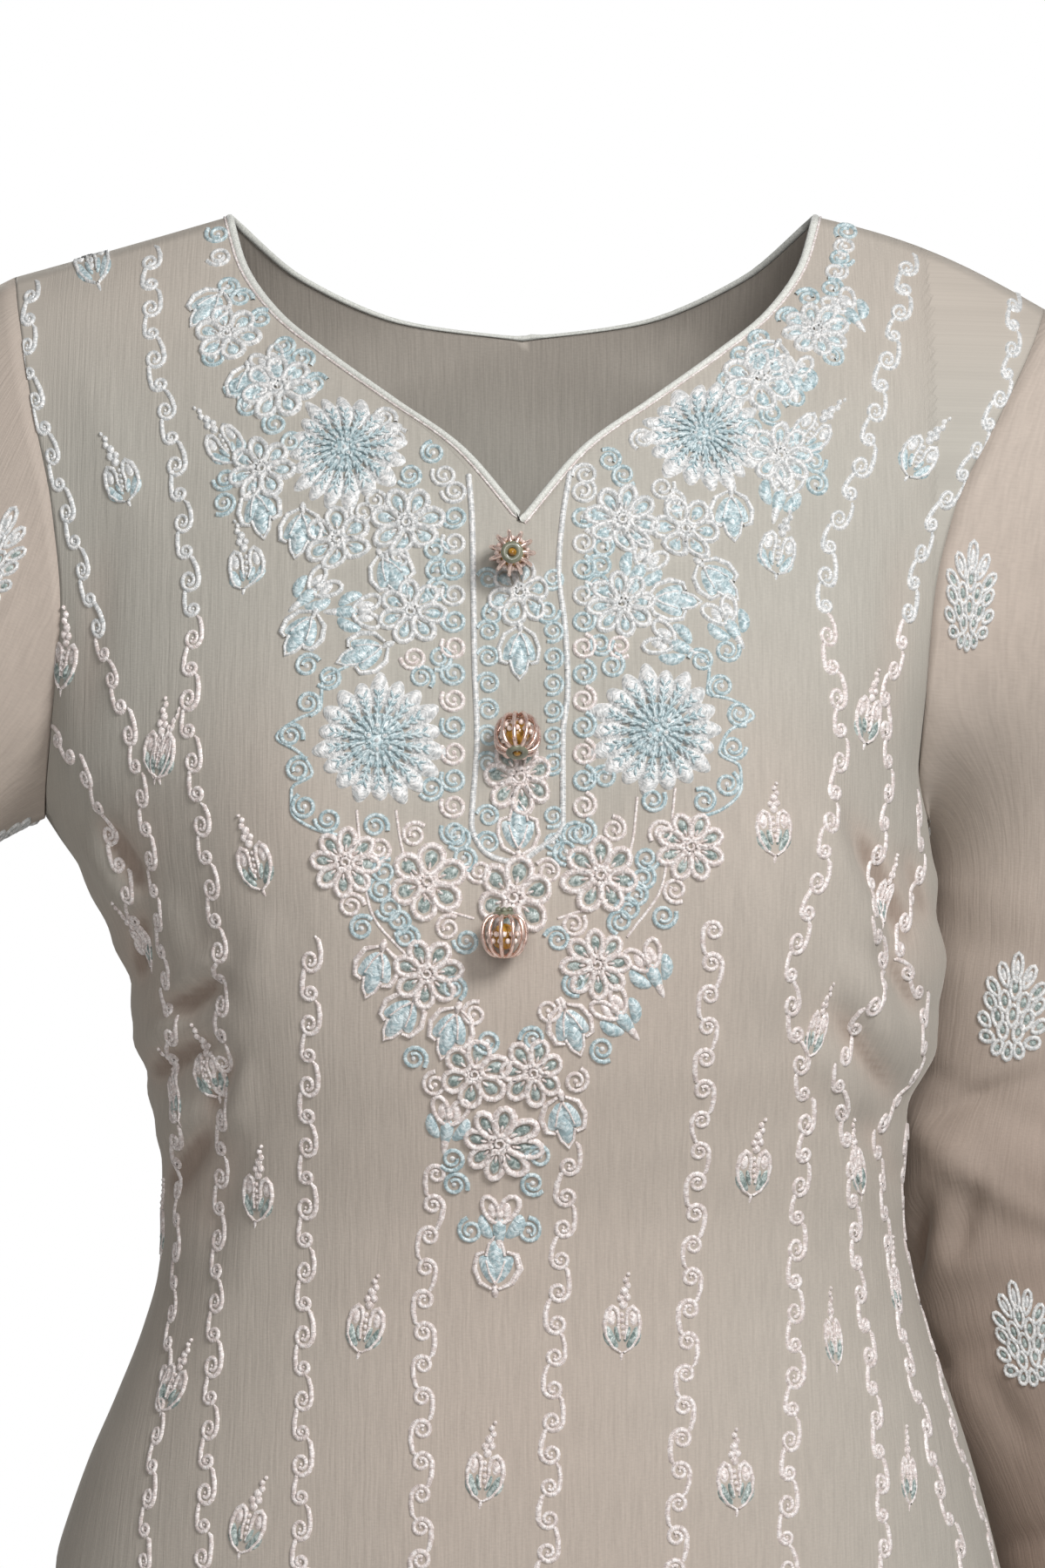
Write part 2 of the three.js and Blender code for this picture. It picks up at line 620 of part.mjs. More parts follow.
/** The neck edge as one closed line, each point with the direction out of the cloth there. */
function neckLine() {
  const spots = [];
  const walk = (face, side, rows) => {
    for (const row of rows) {
      const level = 1 + row / YOKE_ROWS;
      const edge = kameezPoint(face, side, level, 0);
      const atMiddle = row === (face === 'front' ? NECK_POINT_ROW : BACK_NECK_ROW);
      const beside = kameezPoint(face, side, atMiddle ? level - 1 / YOKE_ROWS : level, NEXT_TO_EDGE);
      if (atMiddle) beside.x = 0;
      spots.push({ edge, outOfCloth: edge.clone().sub(beside) });
    }
  };
  const up = (from) => Array.from({ length: YOKE_ROWS - from }, (_, i) => from + i);
  const down = (to) => Array.from({ length: YOKE_ROWS - to }, (_, i) => YOKE_ROWS - i);
  walk('front', 'left', up(NECK_POINT_ROW));
  walk('back', 'left', down(BACK_NECK_ROW));
  walk('back', 'right', up(BACK_NECK_ROW));
  walk('front', 'right', down(NECK_POINT_ROW));
  return spots;
}

/** Flat piping that lies just inside the neck edge, all the way round. */
function neckPiping() {
  const spots = neckLine();
  const count = spots.length;
  const positions = [];
  const faces = [];
  spots.forEach(({ edge, outOfCloth }, i) => {
    const ahead = spots[(i + 1) % count].edge.clone().sub(edge).normalize();
    const behind = edge.clone().sub(spots[(i + count - 1) % count].edge).normalize();
    const along = ahead.clone().add(behind).normalize();
    const inward = outOfCloth.clone();
    inward.addScaledVector(along, -inward.dot(along)).normalize();
    const out = new THREE.Vector3().crossVectors(along, inward).normalize();
    const corner = 1 / Math.max(along.dot(ahead), PIPING.corner);
    const middle = edge.clone().addScaledVector(inward, (SEAM_GAP + PIPING.wide / 2) * corner);
    for (let side = 0; side < PIPING.sides; side += 1) {
      const angle = (side / PIPING.sides) * 2 * Math.PI;
      const spot = middle.clone()
        .addScaledVector(inward, (PIPING.wide / 2) * Math.cos(angle) * corner)
        .addScaledVector(out, (PIPING.thick / 2) * Math.sin(angle));
      positions.push(...spot);
    }
    const next = (i + 1) % count;
    for (let side = 0; side < PIPING.sides; side += 1) {
      const beside = (side + 1) % PIPING.sides;
      const [a, b] = [i * PIPING.sides + side, i * PIPING.sides + beside];
      const [c, d] = [next * PIPING.sides + beside, next * PIPING.sides + side];
      faces.push(a, b, c, a, c, d);
    }
  });
  const geometry = new THREE.BufferGeometry();
  geometry.setAttribute('position', new THREE.Float32BufferAttribute(positions, 3));
  geometry.setIndex(faces);
  return geometry;
}

/** A ribbed cage with its cap, as one lathe turned about its own axis and then ribbed. */
function cageButton() {
  const half = BUTTON.height / 2;
  const profile = [new THREE.Vector2(0, -half)];
  for (const t of BUTTON_TURNS) {
    const angle = Math.PI * t;
    profile.push(new THREE.Vector2(BUTTON.radius * Math.sin(angle), -half * Math.cos(angle)));
  }
  profile.push(new THREE.Vector2(BUTTON_CAP.radius, half));
  profile.push(new THREE.Vector2(BUTTON_CAP.radius * BUTTON_CAP.taper, half + BUTTON_CAP.height));
  profile.push(new THREE.Vector2(0, half + BUTTON_CAP.height));
  const columns = 2 * BUTTON.ribs;
  const positions = [];
  const faces = [];
  const rings = profile.slice(1, -1);
  rings.forEach((spot, row) => {
    for (let column = 0; column < columns; column += 1) {
      const angle = (column / columns) * 2 * Math.PI;
      const ribbed = row < BUTTON_TURNS.length ? BUTTON.rib * (column % 2 === 0 ? 1 : -1) : 0;
      positions.push((spot.x + ribbed) * Math.cos(angle), (spot.x + ribbed) * Math.sin(angle), spot.y);
    }
  });
  for (let row = 0; row < rings.length - 1; row += 1) {
    for (let column = 0; column < columns; column += 1) {
      const next = (column + 1) % columns;
      const [a, b] = [row * columns + column, row * columns + next];
      const [c, d] = [(row + 1) * columns + next, (row + 1) * columns + column];
      faces.push(a, b, c, a, c, d);
    }
  }
  const bottom = rings.length * columns;
  positions.push(0, 0, profile[0].y, 0, 0, profile[profile.length - 1].y);
  const topRing = (rings.length - 1) * columns;
  for (let column = 0; column < columns; column += 1) {
    const next = (column + 1) % columns;
    faces.push(bottom, next, column);
    faces.push(bottom + 1, topRing + column, topRing + next);
  }
  const geometry = new THREE.BufferGeometry();
  geometry.setAttribute('position', new THREE.Float32BufferAttribute(positions, 3));
  geometry.setIndex(faces);
  return geometry;
}

/** A button rests 0.3 mm off the centre front; its tilt turns its cap from up, to forward, to down. */
function placedButton(button) {
  const mesh = new THREE.Mesh(cageButton(), materials.button.clone());
  const inYoke = button.z > ARMPIT_Z;
  const level = inYoke ? (button.z - ARMPIT_Z) / (NECK_POINT_Z - ARMPIT_Z) : 0;
  const onFront = inYoke
    ? kameezPoint('front', 'right', 1 + (level * NECK_POINT_ROW) / YOKE_ROWS, 0)
    : kameezPoint('front', 'right', (button.z - KAMEEZ_HEM_Z) / (ARMPIT_Z - KAMEEZ_HEM_Z), 0);
  const tilt = THREE.MathUtils.degToRad(button.tilt);
  mesh.rotation.x = tilt;
  mesh.updateMatrixWorld(true);
  const bounds = new THREE.Box3().setFromObject(mesh, true);
  const clear = KAMEEZ_CLOTH / 2 + SEAM_GAP + bounds.max.y + BUTTON_LEAN;
  mesh.position.set(button.x, onFront.y - clear, button.z);
  mesh.name = button.name;
  return mesh;
}

// ---- the suit ----

const fabric = (color) => new THREE.MeshStandardMaterial({ color, roughness: 0.75, metalness: 0 });
const materials = {
  georgette: fabric(0xb3aa9e),
  piping: fabric(0xc9ccc6),
  satin: fabric(0xcdb298),
  button: new THREE.MeshStandardMaterial({ color: 0xb58f7c, roughness: 0.3, metalness: 0.9 }),
};

function piece(name, geometry, material) {
  const mesh = new THREE.Mesh(geometry, material.clone());
  mesh.name = name;
  return mesh;
}

const suit = new THREE.Group();
suit.add(piece('kameez_front', kameezPanel('front'), materials.georgette));
suit.add(piece('kameez_back', kameezPanel('back'), materials.georgette));
suit.add(piece('neck_piping', neckPiping(), materials.piping));
suit.add(piece('gharara_waistband', waistband(), materials.satin));
for (const side of ['left', 'right']) {
  suit.add(piece(`sleeve_${side}`, sleeve(side), materials.georgette));
  suit.add(piece(`gharara_leg_${side}`, trouserLeg(side), materials.satin));
  suit.add(piece(`gharara_flare_${side}`, flare(side), materials.satin));
}
for (const button of BUTTONS) suit.add(placedButton(button));

export default suit;
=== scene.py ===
"""A worn gharara suit in metres, +Z up, front facing -Y: cloth shells, embroidery and cage buttons
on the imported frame. Sizes below are in millimetres until a mesh is made."""

import math

import bpy
import numpy as np
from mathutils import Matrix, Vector


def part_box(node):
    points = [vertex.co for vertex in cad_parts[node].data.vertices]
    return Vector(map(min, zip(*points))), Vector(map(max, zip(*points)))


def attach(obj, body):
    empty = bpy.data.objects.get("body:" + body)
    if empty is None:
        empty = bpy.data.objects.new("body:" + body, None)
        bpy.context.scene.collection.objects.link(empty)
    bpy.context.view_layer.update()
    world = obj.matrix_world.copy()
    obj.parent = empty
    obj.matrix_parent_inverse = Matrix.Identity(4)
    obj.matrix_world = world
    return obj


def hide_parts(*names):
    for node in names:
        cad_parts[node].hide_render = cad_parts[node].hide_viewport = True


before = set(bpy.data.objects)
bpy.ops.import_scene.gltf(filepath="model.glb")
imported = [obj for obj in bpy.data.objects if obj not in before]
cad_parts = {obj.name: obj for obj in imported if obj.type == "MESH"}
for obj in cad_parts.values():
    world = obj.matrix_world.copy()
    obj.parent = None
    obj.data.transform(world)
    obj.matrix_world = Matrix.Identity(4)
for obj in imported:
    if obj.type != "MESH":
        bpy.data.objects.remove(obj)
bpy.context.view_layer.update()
MM = 0.001

# ---- camera: level with the chest, far off ----
CAMERA_AWAY = 2000.0
CAMERA_Z = -230.0
PIXELS_PER_SLOPE = 5671.6
FRAME_SIZE = (1200, 1800)
SENSOR_HEIGHT = 24.0


def add_camera():
    data = bpy.data.cameras.new("camera")
    data.sensor_fit = "VERTICAL"
    data.sensor_height = SENSOR_HEIGHT
    data.lens = SENSOR_HEIGHT * PIXELS_PER_SLOPE / FRAME_SIZE[1]
    data.clip_end = 50
    camera = bpy.data.objects.new("camera", data)
    camera.location = (0, -CAMERA_AWAY * MM, CAMERA_Z * MM)
    camera.rotation_euler = (math.pi / 2, 0, 0)
    bpy.context.collection.objects.link(camera)
    bpy.context.scene.camera = camera


add_camera()

# ---- the form, from the same tables as the solids ----


def table(names, rows):
    """Rows of numbers as one array for each named column."""
    return dict(zip(names.split(), np.array(rows, float).T))


def each(rows):
    """The rows of such a table."""
    return zip(*rows.values())


SIDES = ("left", "right")

ARMPIT_Z = -243.0
NECK_POINT_Z = -128.5
BACK_NECK_Z = -45.0
SLIT_TOP_Z = {"left": -548.0, "right": -526.0}
KAMEEZ_HEM_Z = -900.0
WAISTBAND_TOP_Z = -395.0
WAISTBAND_BASE_Z = -430.0
CROTCH_Z = -660.0
KNEE_SEAM_Z = -930.0
FLARE_HEM_Z = -1395.0
YOKE_ROWS = 12
NECK_ROW = {"front": 5, "back": 8}

KAMEEZ_RINGS = table("z right left front back", [
    [-900, -240, 240, -114, 110], [-800, -228, 229, -114, 114], [-700, -216, 217, -114, 119],
    [-600, -203, 205, -113, 123], [-547, -190, 193, -111, 121], [-505, -176, 182, -107, 113],
    [-477, -164, 173, -103, 103], [-449, -153, 163, -99, 92], [-427, -147, 157, -97, 84],
    [-406, -145, 154, -97, 80], [-366, -148, 155, -104, 84], [-336, -155, 166, -110, 90],
    [-306, -160, 170, -112, 95], [-281, -170, 168, -111, 97], [-265, -179, 166, -109, 97],
    [-243, -193, 163, -104, 95],
])
SIDE_SEAM_Y = 4.0
RING_POWER = 2.3
CENTRE = {
    "front": table("z y", [[-243, -104], [-200, -99], [-160, -90], [-128.5, -80]]),
    "back": table("z y", [[-243, 95], [-180, 92], [-120, 84], [-80, 74], [-45, 60]]),
}
NECKLINE = {
    "front": table("run x y z", [
        [0, 0, -80, -128.5], [0.2, 26, -68, -98], [0.4, 52, -55, -79], [0.58, 79, -40, -59],
        [0.74, 99, -25, -42], [0.88, 113.5, -9, -21], [1, 120, 7, 0],
    ]),
    "back": table("run x y z", [
        [0, 0, 60, -45], [0.4, 48, 55, -39], [0.75, 92, 36, -22], [1, 120, 7, 0],
    ]),
}
ARMHOLES = {
    ("right", "front"): table("run x y z", [
        [0, -193, 4, -243], [0.12, -190, -22, -228], [0.3, -186, -38, -196], [0.5, -183, -43, -160],
        [0.7, -187, -38, -120], [0.85, -196, -27, -78], [0.95, -203, -10, -40], [1, -206, 7, -24.5],
    ]),
    ("right", "back"): table("run x y z", [
        [0, -193, 4, -243], [0.12, -190, 30, -228], [0.3, -185, 52, -196], [0.5, -182, 60, -160],
        [0.7, -186, 56, -120], [0.85, -195, 44, -78], [0.95, -203, 24, -40], [1, -206, 7, -24.5],
    ]),
    ("left", "front"): table("run x y z", [
        [0, 163, 4, -243], [0.12, 158, -20, -226], [0.3, 160, -42, -190], [0.5, 163, -46, -155],
        [0.7, 172, -42, -119], [0.85, 190, -30, -84], [0.95, 206, -10, -52], [1, 212, 7, -37.5],
    ]),
    ("left", "back"): table("run x y z", [
        [0, 163, 4, -243], [0.12, 160, 30, -227], [0.3, 164, 54, -190], [0.5, 168, 62, -155],
        [0.7, 177, 58, -119], [0.85, 192, 46, -84], [0.95, 206, 26, -52], [1, 212, 7, -37.5],
    ]),
}
SHOULDER_ROUND = {"most": 9.0, "over": 0.95, "forward": 0.8, "up": 0.45}
SHOULDER_SEAM_ROUND = {"right": -1.0, "left": 4.0}
YOKE_FLAT_FROM = 0.9
BUST = {"apart": 88.0, "z": -236.0, "proud": 13.0, "wide": 50.0, "tall": 58.0}
HEM_RIPPLE = {"depth": 8.0, "waves": 2.5, "from": -600.0}
SLIT_SPREAD = 0.22
SLIT_SPREAD_WITHIN = 36.0

# Drag folds that the solids share, then finer creases that only the cloth shells carry: from x1, z1
# to x2, z2, with the depth in mm out of the cloth.
FOLDS = {
    "front": table("x1 z1 x2 z2 depth width", [
        [-124, -303, -142, -340, -5, 15], [-118, -344, -132, -392, -5, 15], [-104, -306, -128, -352, 4, 17],
        [112, -262, 150, -322, 4, 17], [136, -262, 158, -300, -4, 14], [104, -318, 128, -366, -4, 16],
        [-150, -250, -160, -300, -4, 14], [128, -366, 146, -420, 4, 16],
    ]),
    "back": table("x1 z1 x2 z2 depth width", [
        [-112, -330, 40, -372, -4, 16], [108, -352, -30, -392, 4, 17], [124, -300, 60, -340, -4, 15],
        [-132, -268, -80, -310, 4, 16],
    ]),
}
CREASES = {
    "front": table("x1 z1 x2 z2 depth width", [
        [-117, -297, -135, -309, 4.2, 5], [-117, -306, -138, -320, -5, 4.6],
        [-133, -320, -147, -331, 3.6, 4.5], [-119, -329, -146, -345, -4.4, 4.4],
        [-113, -336, -121, -358, -4.6, 4.2], [-107, -340, -113, -364, 2.6, 6],
        [-122, -366, -140, -392, -3.4, 5.5], [-131, -358, -145, -374, 3, 6],
        [-164, -246, -149, -269, -5, 4.2], [-172, -254, -155, -278, 3.6, 5],
        [-149, -282, -151, -306, -4.2, 4.2], [-138, -276, -132, -298, 2.4, 7],
        [-97, -284, -108, -310, 1.8, 8], [-112, -372, -122, -410, -1.5, 6],
        [-100, -400, -128, -455, 1.6, 9], [117, -247, 137, -294, 3.6, 7], [128, -246, 150, -290, -4.2, 5.5],
        [138, -292, 157, -322, -5, 5.5], [128, -299, 148, -334, 3, 7], [122, -318, 146, -352, -4.2, 5.5],
        [152, -258, 160, -283, -3, 4.5], [112, -330, 131, -356, 2.6, 7], [90, -260, 97, -318, 2, 9],
        [134, -362, 150, -392, -2.8, 6], [-70, -262, -88, -330, 1.4, 14], [82, -268, 100, -330, 1.5, 13],
        [-176, -66, -150, -130, 1.3, 10], [-166, -140, -172, -205, -1.6, 8],
        [150, -140, 142, -215, -1.5, 8], [170, -70, 152, -120, 1.2, 9], [-60, -640, -72, -895, 3.2, 16],
        [38, -600, 52, -895, -2.6, 15], [118, -585, 140, -895, 3, 18], [-138, -580, -160, -895, -2.8, 15],
        [-20, -560, -14, -700, 1.6, 12],
    ]),
    "back": table("x1 z1 x2 z2 depth width", [
        [-60, -345, 62, -384, -2.2, 7], [-84, -366, 18, -405, 1.8, 8], [22, -330, 104, -352, -1.8, 6],
        [-150, -280, -118, -330, -2.2, 5], [140, -270, 118, -322, -2.2, 5], [-170, -90, -140, -150, 1.6, 8],
        [168, -100, 140, -160, 1.6, 8], [-40, -410, -52, -520, 1.4, 14], [58, -420, 66, -540, -1.5, 13],
        [-96, -600, -110, -895, 3, 17], [14, -620, 20, -895, -2.8, 15], [104, -590, 124, -895, 2.8, 17],
    ]),
}

ARMS = {
    "right": table("run x y z wide deep", [
        [0, -273, 8, -238, 58, 47], [0.25, -310, 12, -322, 57, 46], [0.5, -325, 4, -405, 54, 43],
        [0.75, -333, -8, -495, 49, 39], [1, -336, -18, -582, 46, 36],
    ]),
    "left": table("run x y z wide deep", [
        [0, 221, 51, -274, 58, 46], [0.16, 217, 54, -322, 58, 45], [0.4, 208, 56, -400, 57, 44],
        [0.62, 220, 57, -470, 52, 41], [0.86, 243, 58, -547, 48, 38], [1, 252, 56, -592, 47, 36],
    ]),
}
SLEEVE_FOLDS = table("run depth width turn slant", [
    [0.1, -4, 0.05, 0.4, 0.06], [0.3, 6, 0.05, -0.8, 0.06], [0.44, -6, 0.05, 0.9, 0.06],
    [0.6, 5, 0.05, -0.3, 0.06], [0.8, -4, 0.05, 0.6, 0.06],
])
SLEEVE_CREASES = table("run depth width turn slant", [
    [0.05, -1.6, 0.022, 1.2, 0.05], [0.17, 2.2, 0.028, 2.4, 0.08], [0.24, -2.4, 0.02, -0.4, 0.09],
    [0.33, -2.2, 0.016, 0.3, 0.07], [0.38, 2.8, 0.02, -1.1, 0.1], [0.47, -2.6, 0.018, 1.5, 0.08],
    [0.53, 2.4, 0.022, 0.1, 0.06], [0.66, -2.2, 0.02, -1.4, 0.09], [0.72, 2, 0.024, 0.9, 0.07],
    [0.87, -1.8, 0.022, 0.2, 0.06],
])

TROUSER_INSET = table("z inset", [
    [-660, 24], [-610, 12], [-575, 9], [-545, 5.5], [-505, 2.1], [-468, 4], [-430, 6], [-395, 6],
])
KNEE = {"x": 98.0, "wide": 80.0, "deep": 86.0}
LEG_OPENING_ANGLE = math.radians(140)
CROTCH_CLEAR = 2.5
FLARE_HEM = {"middle": 118.0, "inner": 96.0, "outer": 214.0, "deep": 210.0}
FLARE_WAVE = {"top": 2.2, "hem": 19.0, "inner_hem": 4.5, "uneven": 0.32, "sway": 0.16}
FLARE_WAVES = 18


def track(rows, key, name, at):
    """A table's column at a key's values, by a monotone cubic through its rows."""
    keys, values = rows[key], rows[name]
    at = np.clip(np.asarray(at, float), keys[0], keys[-1])
    slope = np.diff(values) / np.diff(keys)
    tangent = np.zeros(len(values))
    tangent[0], tangent[-1] = slope[0], slope[-1]
    before, after = slope[:-1], slope[1:]
    same = before * after > 0
    tangent[1:-1][same] = 2 * before[same] * after[same] / (before[same] + after[same])
    i = np.clip(np.searchsorted(keys, at, side="right") - 1, 0, len(keys) - 2)
    span = keys[i + 1] - keys[i]
    t = (at - keys[i]) / span
    t2, t3 = t * t, t * t * t
    return (
        (2 * t3 - 3 * t2 + 1) * values[i]
        + (t3 - 2 * t2 + t) * span * tangent[i]
        + (3 * t2 - 2 * t3) * values[i + 1]
        + (t3 - t2) * span * tangent[i + 1]
    )


def track_point(rows, at):
    return np.stack([track(rows, "run", name, at) for name in "xyz"], -1)


def mix(a, b, t):
    return a + (b - a) * t


def ease(t):
    t = np.clip(t, 0, 1)
    return t * t * (3 - 2 * t)


def sign(side):
    return 1.0 if side == "left" else -1.0


def dot(a, b):
    return np.sum(a * b, -1, keepdims=True)


def unit(v):
    return v / np.maximum(np.linalg.norm(v, axis=-1, keepdims=True), 1e-9)


def stack(*parts):
    return np.stack(np.broadcast_arrays(*parts), -1)


def direction(angle):
    return np.array([math.cos(angle), math.sin(angle)])


def distance(path):
    """How far along a path each of its points lies."""
    return np.concatenate([[0], np.cumsum(np.linalg.norm(np.diff(path, axis=0), axis=-1))])


def numbered(rows, columns):
    """The point numbers of a grid."""
    return np.arange(rows * columns).reshape(rows, columns)


def fold_lift(folds, x, z, tapered=False):
    """How far folds raise the cloth; tapered ones run out towards both ends."""
    lift = np.zeros_like(x)
    for x1, z1, x2, z2, depth, width in each(folds):
        dx, dz = x2 - x1, z2 - z1
        run = ((x - x1) * dx + (z - z1) * dz) / (dx * dx + dz * dz)
        t = np.clip(run, -0.3, 1.3) if tapered else np.clip(run, 0, 1)
        away = np.hypot(x - x1 - t * dx, z - z1 - t * dz)
        share = ease((run + 0.3) / 0.6) * ease((1.3 - run) / 0.6) if tapered else 1.0
        lift += depth * share * np.exp(-((away / width) ** 2))
    return lift


def bust_lift(x, z):
    across = (np.abs(x) - BUST["apart"]) / BUST["wide"]
    down = (z - BUST["z"]) / BUST["tall"]
    return BUST["proud"] * np.exp(-across * across - down * down)


def ring_point(face, side, z, t, inset=0.0):
    """A ring's point from the centre line (t = 0) to the side seam (t = 1), below the armpit."""
    across = track(KAMEEZ_RINGS, "z", side, z) - sign(side) * inset
    depth = track(KAMEEZ_RINGS, "z", face, z) + (inset if face == "front" else -inset)
    angle = t * math.pi / 2
    x = across * np.sin(angle) ** (2 / RING_POWER)
    y = SIDE_SEAM_Y + (depth - SIDE_SEAM_Y) * np.maximum(np.cos(angle), 0) ** (2 / RING_POWER)
    return stack(x, y, z)


def slit_spread(side, z):
    return SLIT_SPREAD * ease((SLIT_TOP_Z[side] - z) / SLIT_SPREAD_WITHIN)


def yoke_point(face, side, run, t):
    """A row of the yoke runs from the centre line or neckline (t = 0) to the armhole (t = 1)."""
    neck_row = NECK_ROW[face] / YOKE_ROWS
    neck_z = NECK_POINT_Z if face == "front" else BACK_NECK_Z
    centre_z = mix(ARMPIT_Z, neck_z, np.minimum(run / neck_row, 1))
    centre = stack(0 * run, track(CENTRE[face], "z", "y", centre_z), centre_z)
    neck = track_point(NECKLINE[face], np.clip((run - neck_row) / (1 - neck_row), 0, 1))
    neck[..., 0] *= sign(side)
    inner = np.where((run <= neck_row)[..., None], centre, neck)
    outer = track_point(ARMHOLES[side, face], run)
    flat = ease(run / YOKE_FLAT_FROM)
    angle = t * math.pi / 2
    round_x = np.sin(angle) ** (2 / RING_POWER)
    round_y = 1 - np.maximum(np.cos(angle), 0) ** (2 / RING_POWER)
    swell = np.sin(np.pi * t) * SHOULDER_ROUND["most"] * np.sin(np.pi * run * SHOULDER_ROUND["over"])
    up = np.sin(np.pi * t) * SHOULDER_SEAM_ROUND[side] * run
    out = -1 if face == "front" else 1
    x = mix(inner[..., 0], outer[..., 0], mix(round_x, t, flat))
    y = mix(inner[..., 1], outer[..., 1], mix(round_y, t, flat)) + out * swell * SHOULDER_ROUND["forward"]
    z = mix(inner[..., 2], outer[..., 2], t) + up + swell * SHOULDER_ROUND["up"] * run
    return stack(x, y, z)


def kameez_point(face, side, level, t):
    """Level 0 is the hem, 1 the armpit and 2 the shoulder seam."""
    level, t = np.broadcast_arrays(np.asarray(level, float), np.asarray(t, float))
    z = mix(KAMEEZ_HEM_Z, ARMPIT_Z, np.minimum(level, 1))
    low = ring_point(face, side, z, t * (1 - slit_spread(side, z)))
    hang = ease((HEM_RIPPLE["from"] - z) / (HEM_RIPPLE["from"] - KAMEEZ_HEM_Z))
    out = -1 if face == "front" else 1
    low[..., 1] += out * np.cos(np.pi * HEM_RIPPLE["waves"] * t) * HEM_RIPPLE["depth"] * hang
    high = yoke_point(face, side, np.maximum(level - 1, 0), t)
    point = np.where((level <= 1)[..., None], low, high)
    towards_seam = np.where(level > 1, 1 - ease(level - 1), 1.0)
    free = (1 - t**4) * towards_seam
    x, z = point[..., 0].copy(), point[..., 2].copy()
    if face == "front":
        point[..., 1] -= bust_lift(x, z) * (1 - t**6) * towards_seam
    point[..., 1] += out * fold_lift(FOLDS[face], x, z) * free
    return point


# Where the side seams bulge and dip: how far, and over what height.
SIDE_RIPPLES = {
    "right": table("z out tall", [
        [-262, -1.2, 5], [-276, 1.0, 6], [-296, 1.8, 6], [-309, -1.8, 5], [-322, 0.8, 5], [-334, 2.0, 6],
        [-345, -1.6, 5], [-356, 1.4, 6], [-380, -1.0, 8], [-402, 0.8, 9],
    ]),
    "left": table("z out tall", [
        [-268, 1.4, 6], [-283, -1.6, 6], [-300, 1.6, 7], [-318, -1.4, 6], [-338, 1.6, 7], [-356, -1.4, 6],
        [-376, 1.0, 8], [-402, -0.8, 9],
    ]),
}


# How far the bend where the yoke begins is smoothed, and how near the side seam.
ARMPIT_BLEND = {"rows_across": 8.0, "rows_out": 15.0, "times": 170, "edge": 14}


def creased(half, face, side):
    """Half a panel with its fine creases raised square to the cloth, and its side seam rippled."""
    half = half.copy()
    row_away = np.arange(len(LEVELS)) - np.argmin(np.abs(LEVELS - 1))
    near = [np.exp(-((row_away / ARMPIT_BLEND[rows]) ** 2)) for rows in ("rows_across", "rows_out")]
    weight = 0.5 * stack(*near, 0 * near[0])[1:-1, None]
    weight = weight * (1 - SHARES ** ARMPIT_BLEND["edge"])[:, None]
    for _ in range(ARMPIT_BLEND["times"]):
        half[1:-1] = mix(half[1:-1], (half[:-2] + half[2:]) / 2, weight)
    normals = Panel(half).normals.copy()
    normals[:, 0, 0] = 0
    lift = fold_lift(CREASES[face], half[..., 0], half[..., 2], tapered=True)
    lift = lift * (1 - SHARES**8) * np.minimum(1, 6 * (2 - LEVELS))[:, None]
    points = half + unit(normals) * lift[..., None]
    height = half[..., 2]
    ripple = sum(out * np.exp(-(((height - z) / tall) ** 2)) for z, out, tall in each(SIDE_RIPPLES[side]))
    points[..., 0] += sign(side) * ripple * SHARES**5 * (LEVELS < 1)[:, None]
    return points


# ---- meshes ----


def add_mesh(name, points, faces, material, uv=None, smooth=True, warmth_and_shade=None):
    """A mesh object from points in millimetres, with a cloth coordinate and a value of warmth and painted
    shade for each.
    """
    mesh = bpy.data.meshes.new(name)
    faces = np.asarray(faces, np.int32)
    mesh.vertices.add(len(points))
    mesh.vertices.foreach_set("co", (np.asarray(points) * MM).astype(np.float32).ravel())
    count, sides = faces.shape
    mesh.loops.add(count * sides)
    mesh.loops.foreach_set("vertex_index", faces.ravel())
    mesh.polygons.add(count)
    mesh.polygons.foreach_set("loop_start", np.arange(0, count * sides, sides, dtype=np.int32))
    mesh.polygons.foreach_set("loop_total", np.full(count, sides, np.int32))
    mesh.polygons.foreach_set("use_smooth", np.full(count, smooth))
    mesh.update(calc_edges=True)
    if uv is not None:
        layer = mesh.uv_layers.new(name="cloth")
        layer.data.foreach_set("uv", (np.asarray(uv)[faces.ravel()]).astype(np.float32).ravel())
    if warmth_and_shade is not None:
        mesh.attributes.new("warmth_and_shade", "FLOAT", "POINT").data.foreach_set("value", warmth_and_shade.astype(np.float32))
    mesh.materials.append(material)
    mesh.validate()
    obj = bpy.data.objects.new(name, mesh)
    bpy.context.collection.objects.link(obj)
    return obj


def thicken(obj, thickness):
    """Gives a cloth shell its two faces and its rims."""
    solid = obj.modifiers.new("cloth", "SOLIDIFY")
    solid.thickness = thickness * MM
    solid.offset = 0
    solid.use_rim = True
    return obj


def close(obj, within):
    """Joins the points where a shell meets itself."""
    weld = obj.modifiers.new("closed", "WELD")
    weld.merge_threshold = within
    return obj


def grid_faces(ids, ring=False):
    """Quads between the rows and columns of an array of point numbers."""
    right = np.roll(ids, -1, 1) if ring else ids[:, 1:]
    left = ids if ring else ids[:, :-1]
    quads = stack(left[:-1], right[:-1], right[1:], left[1:])
    return quads.reshape(-1, 4)


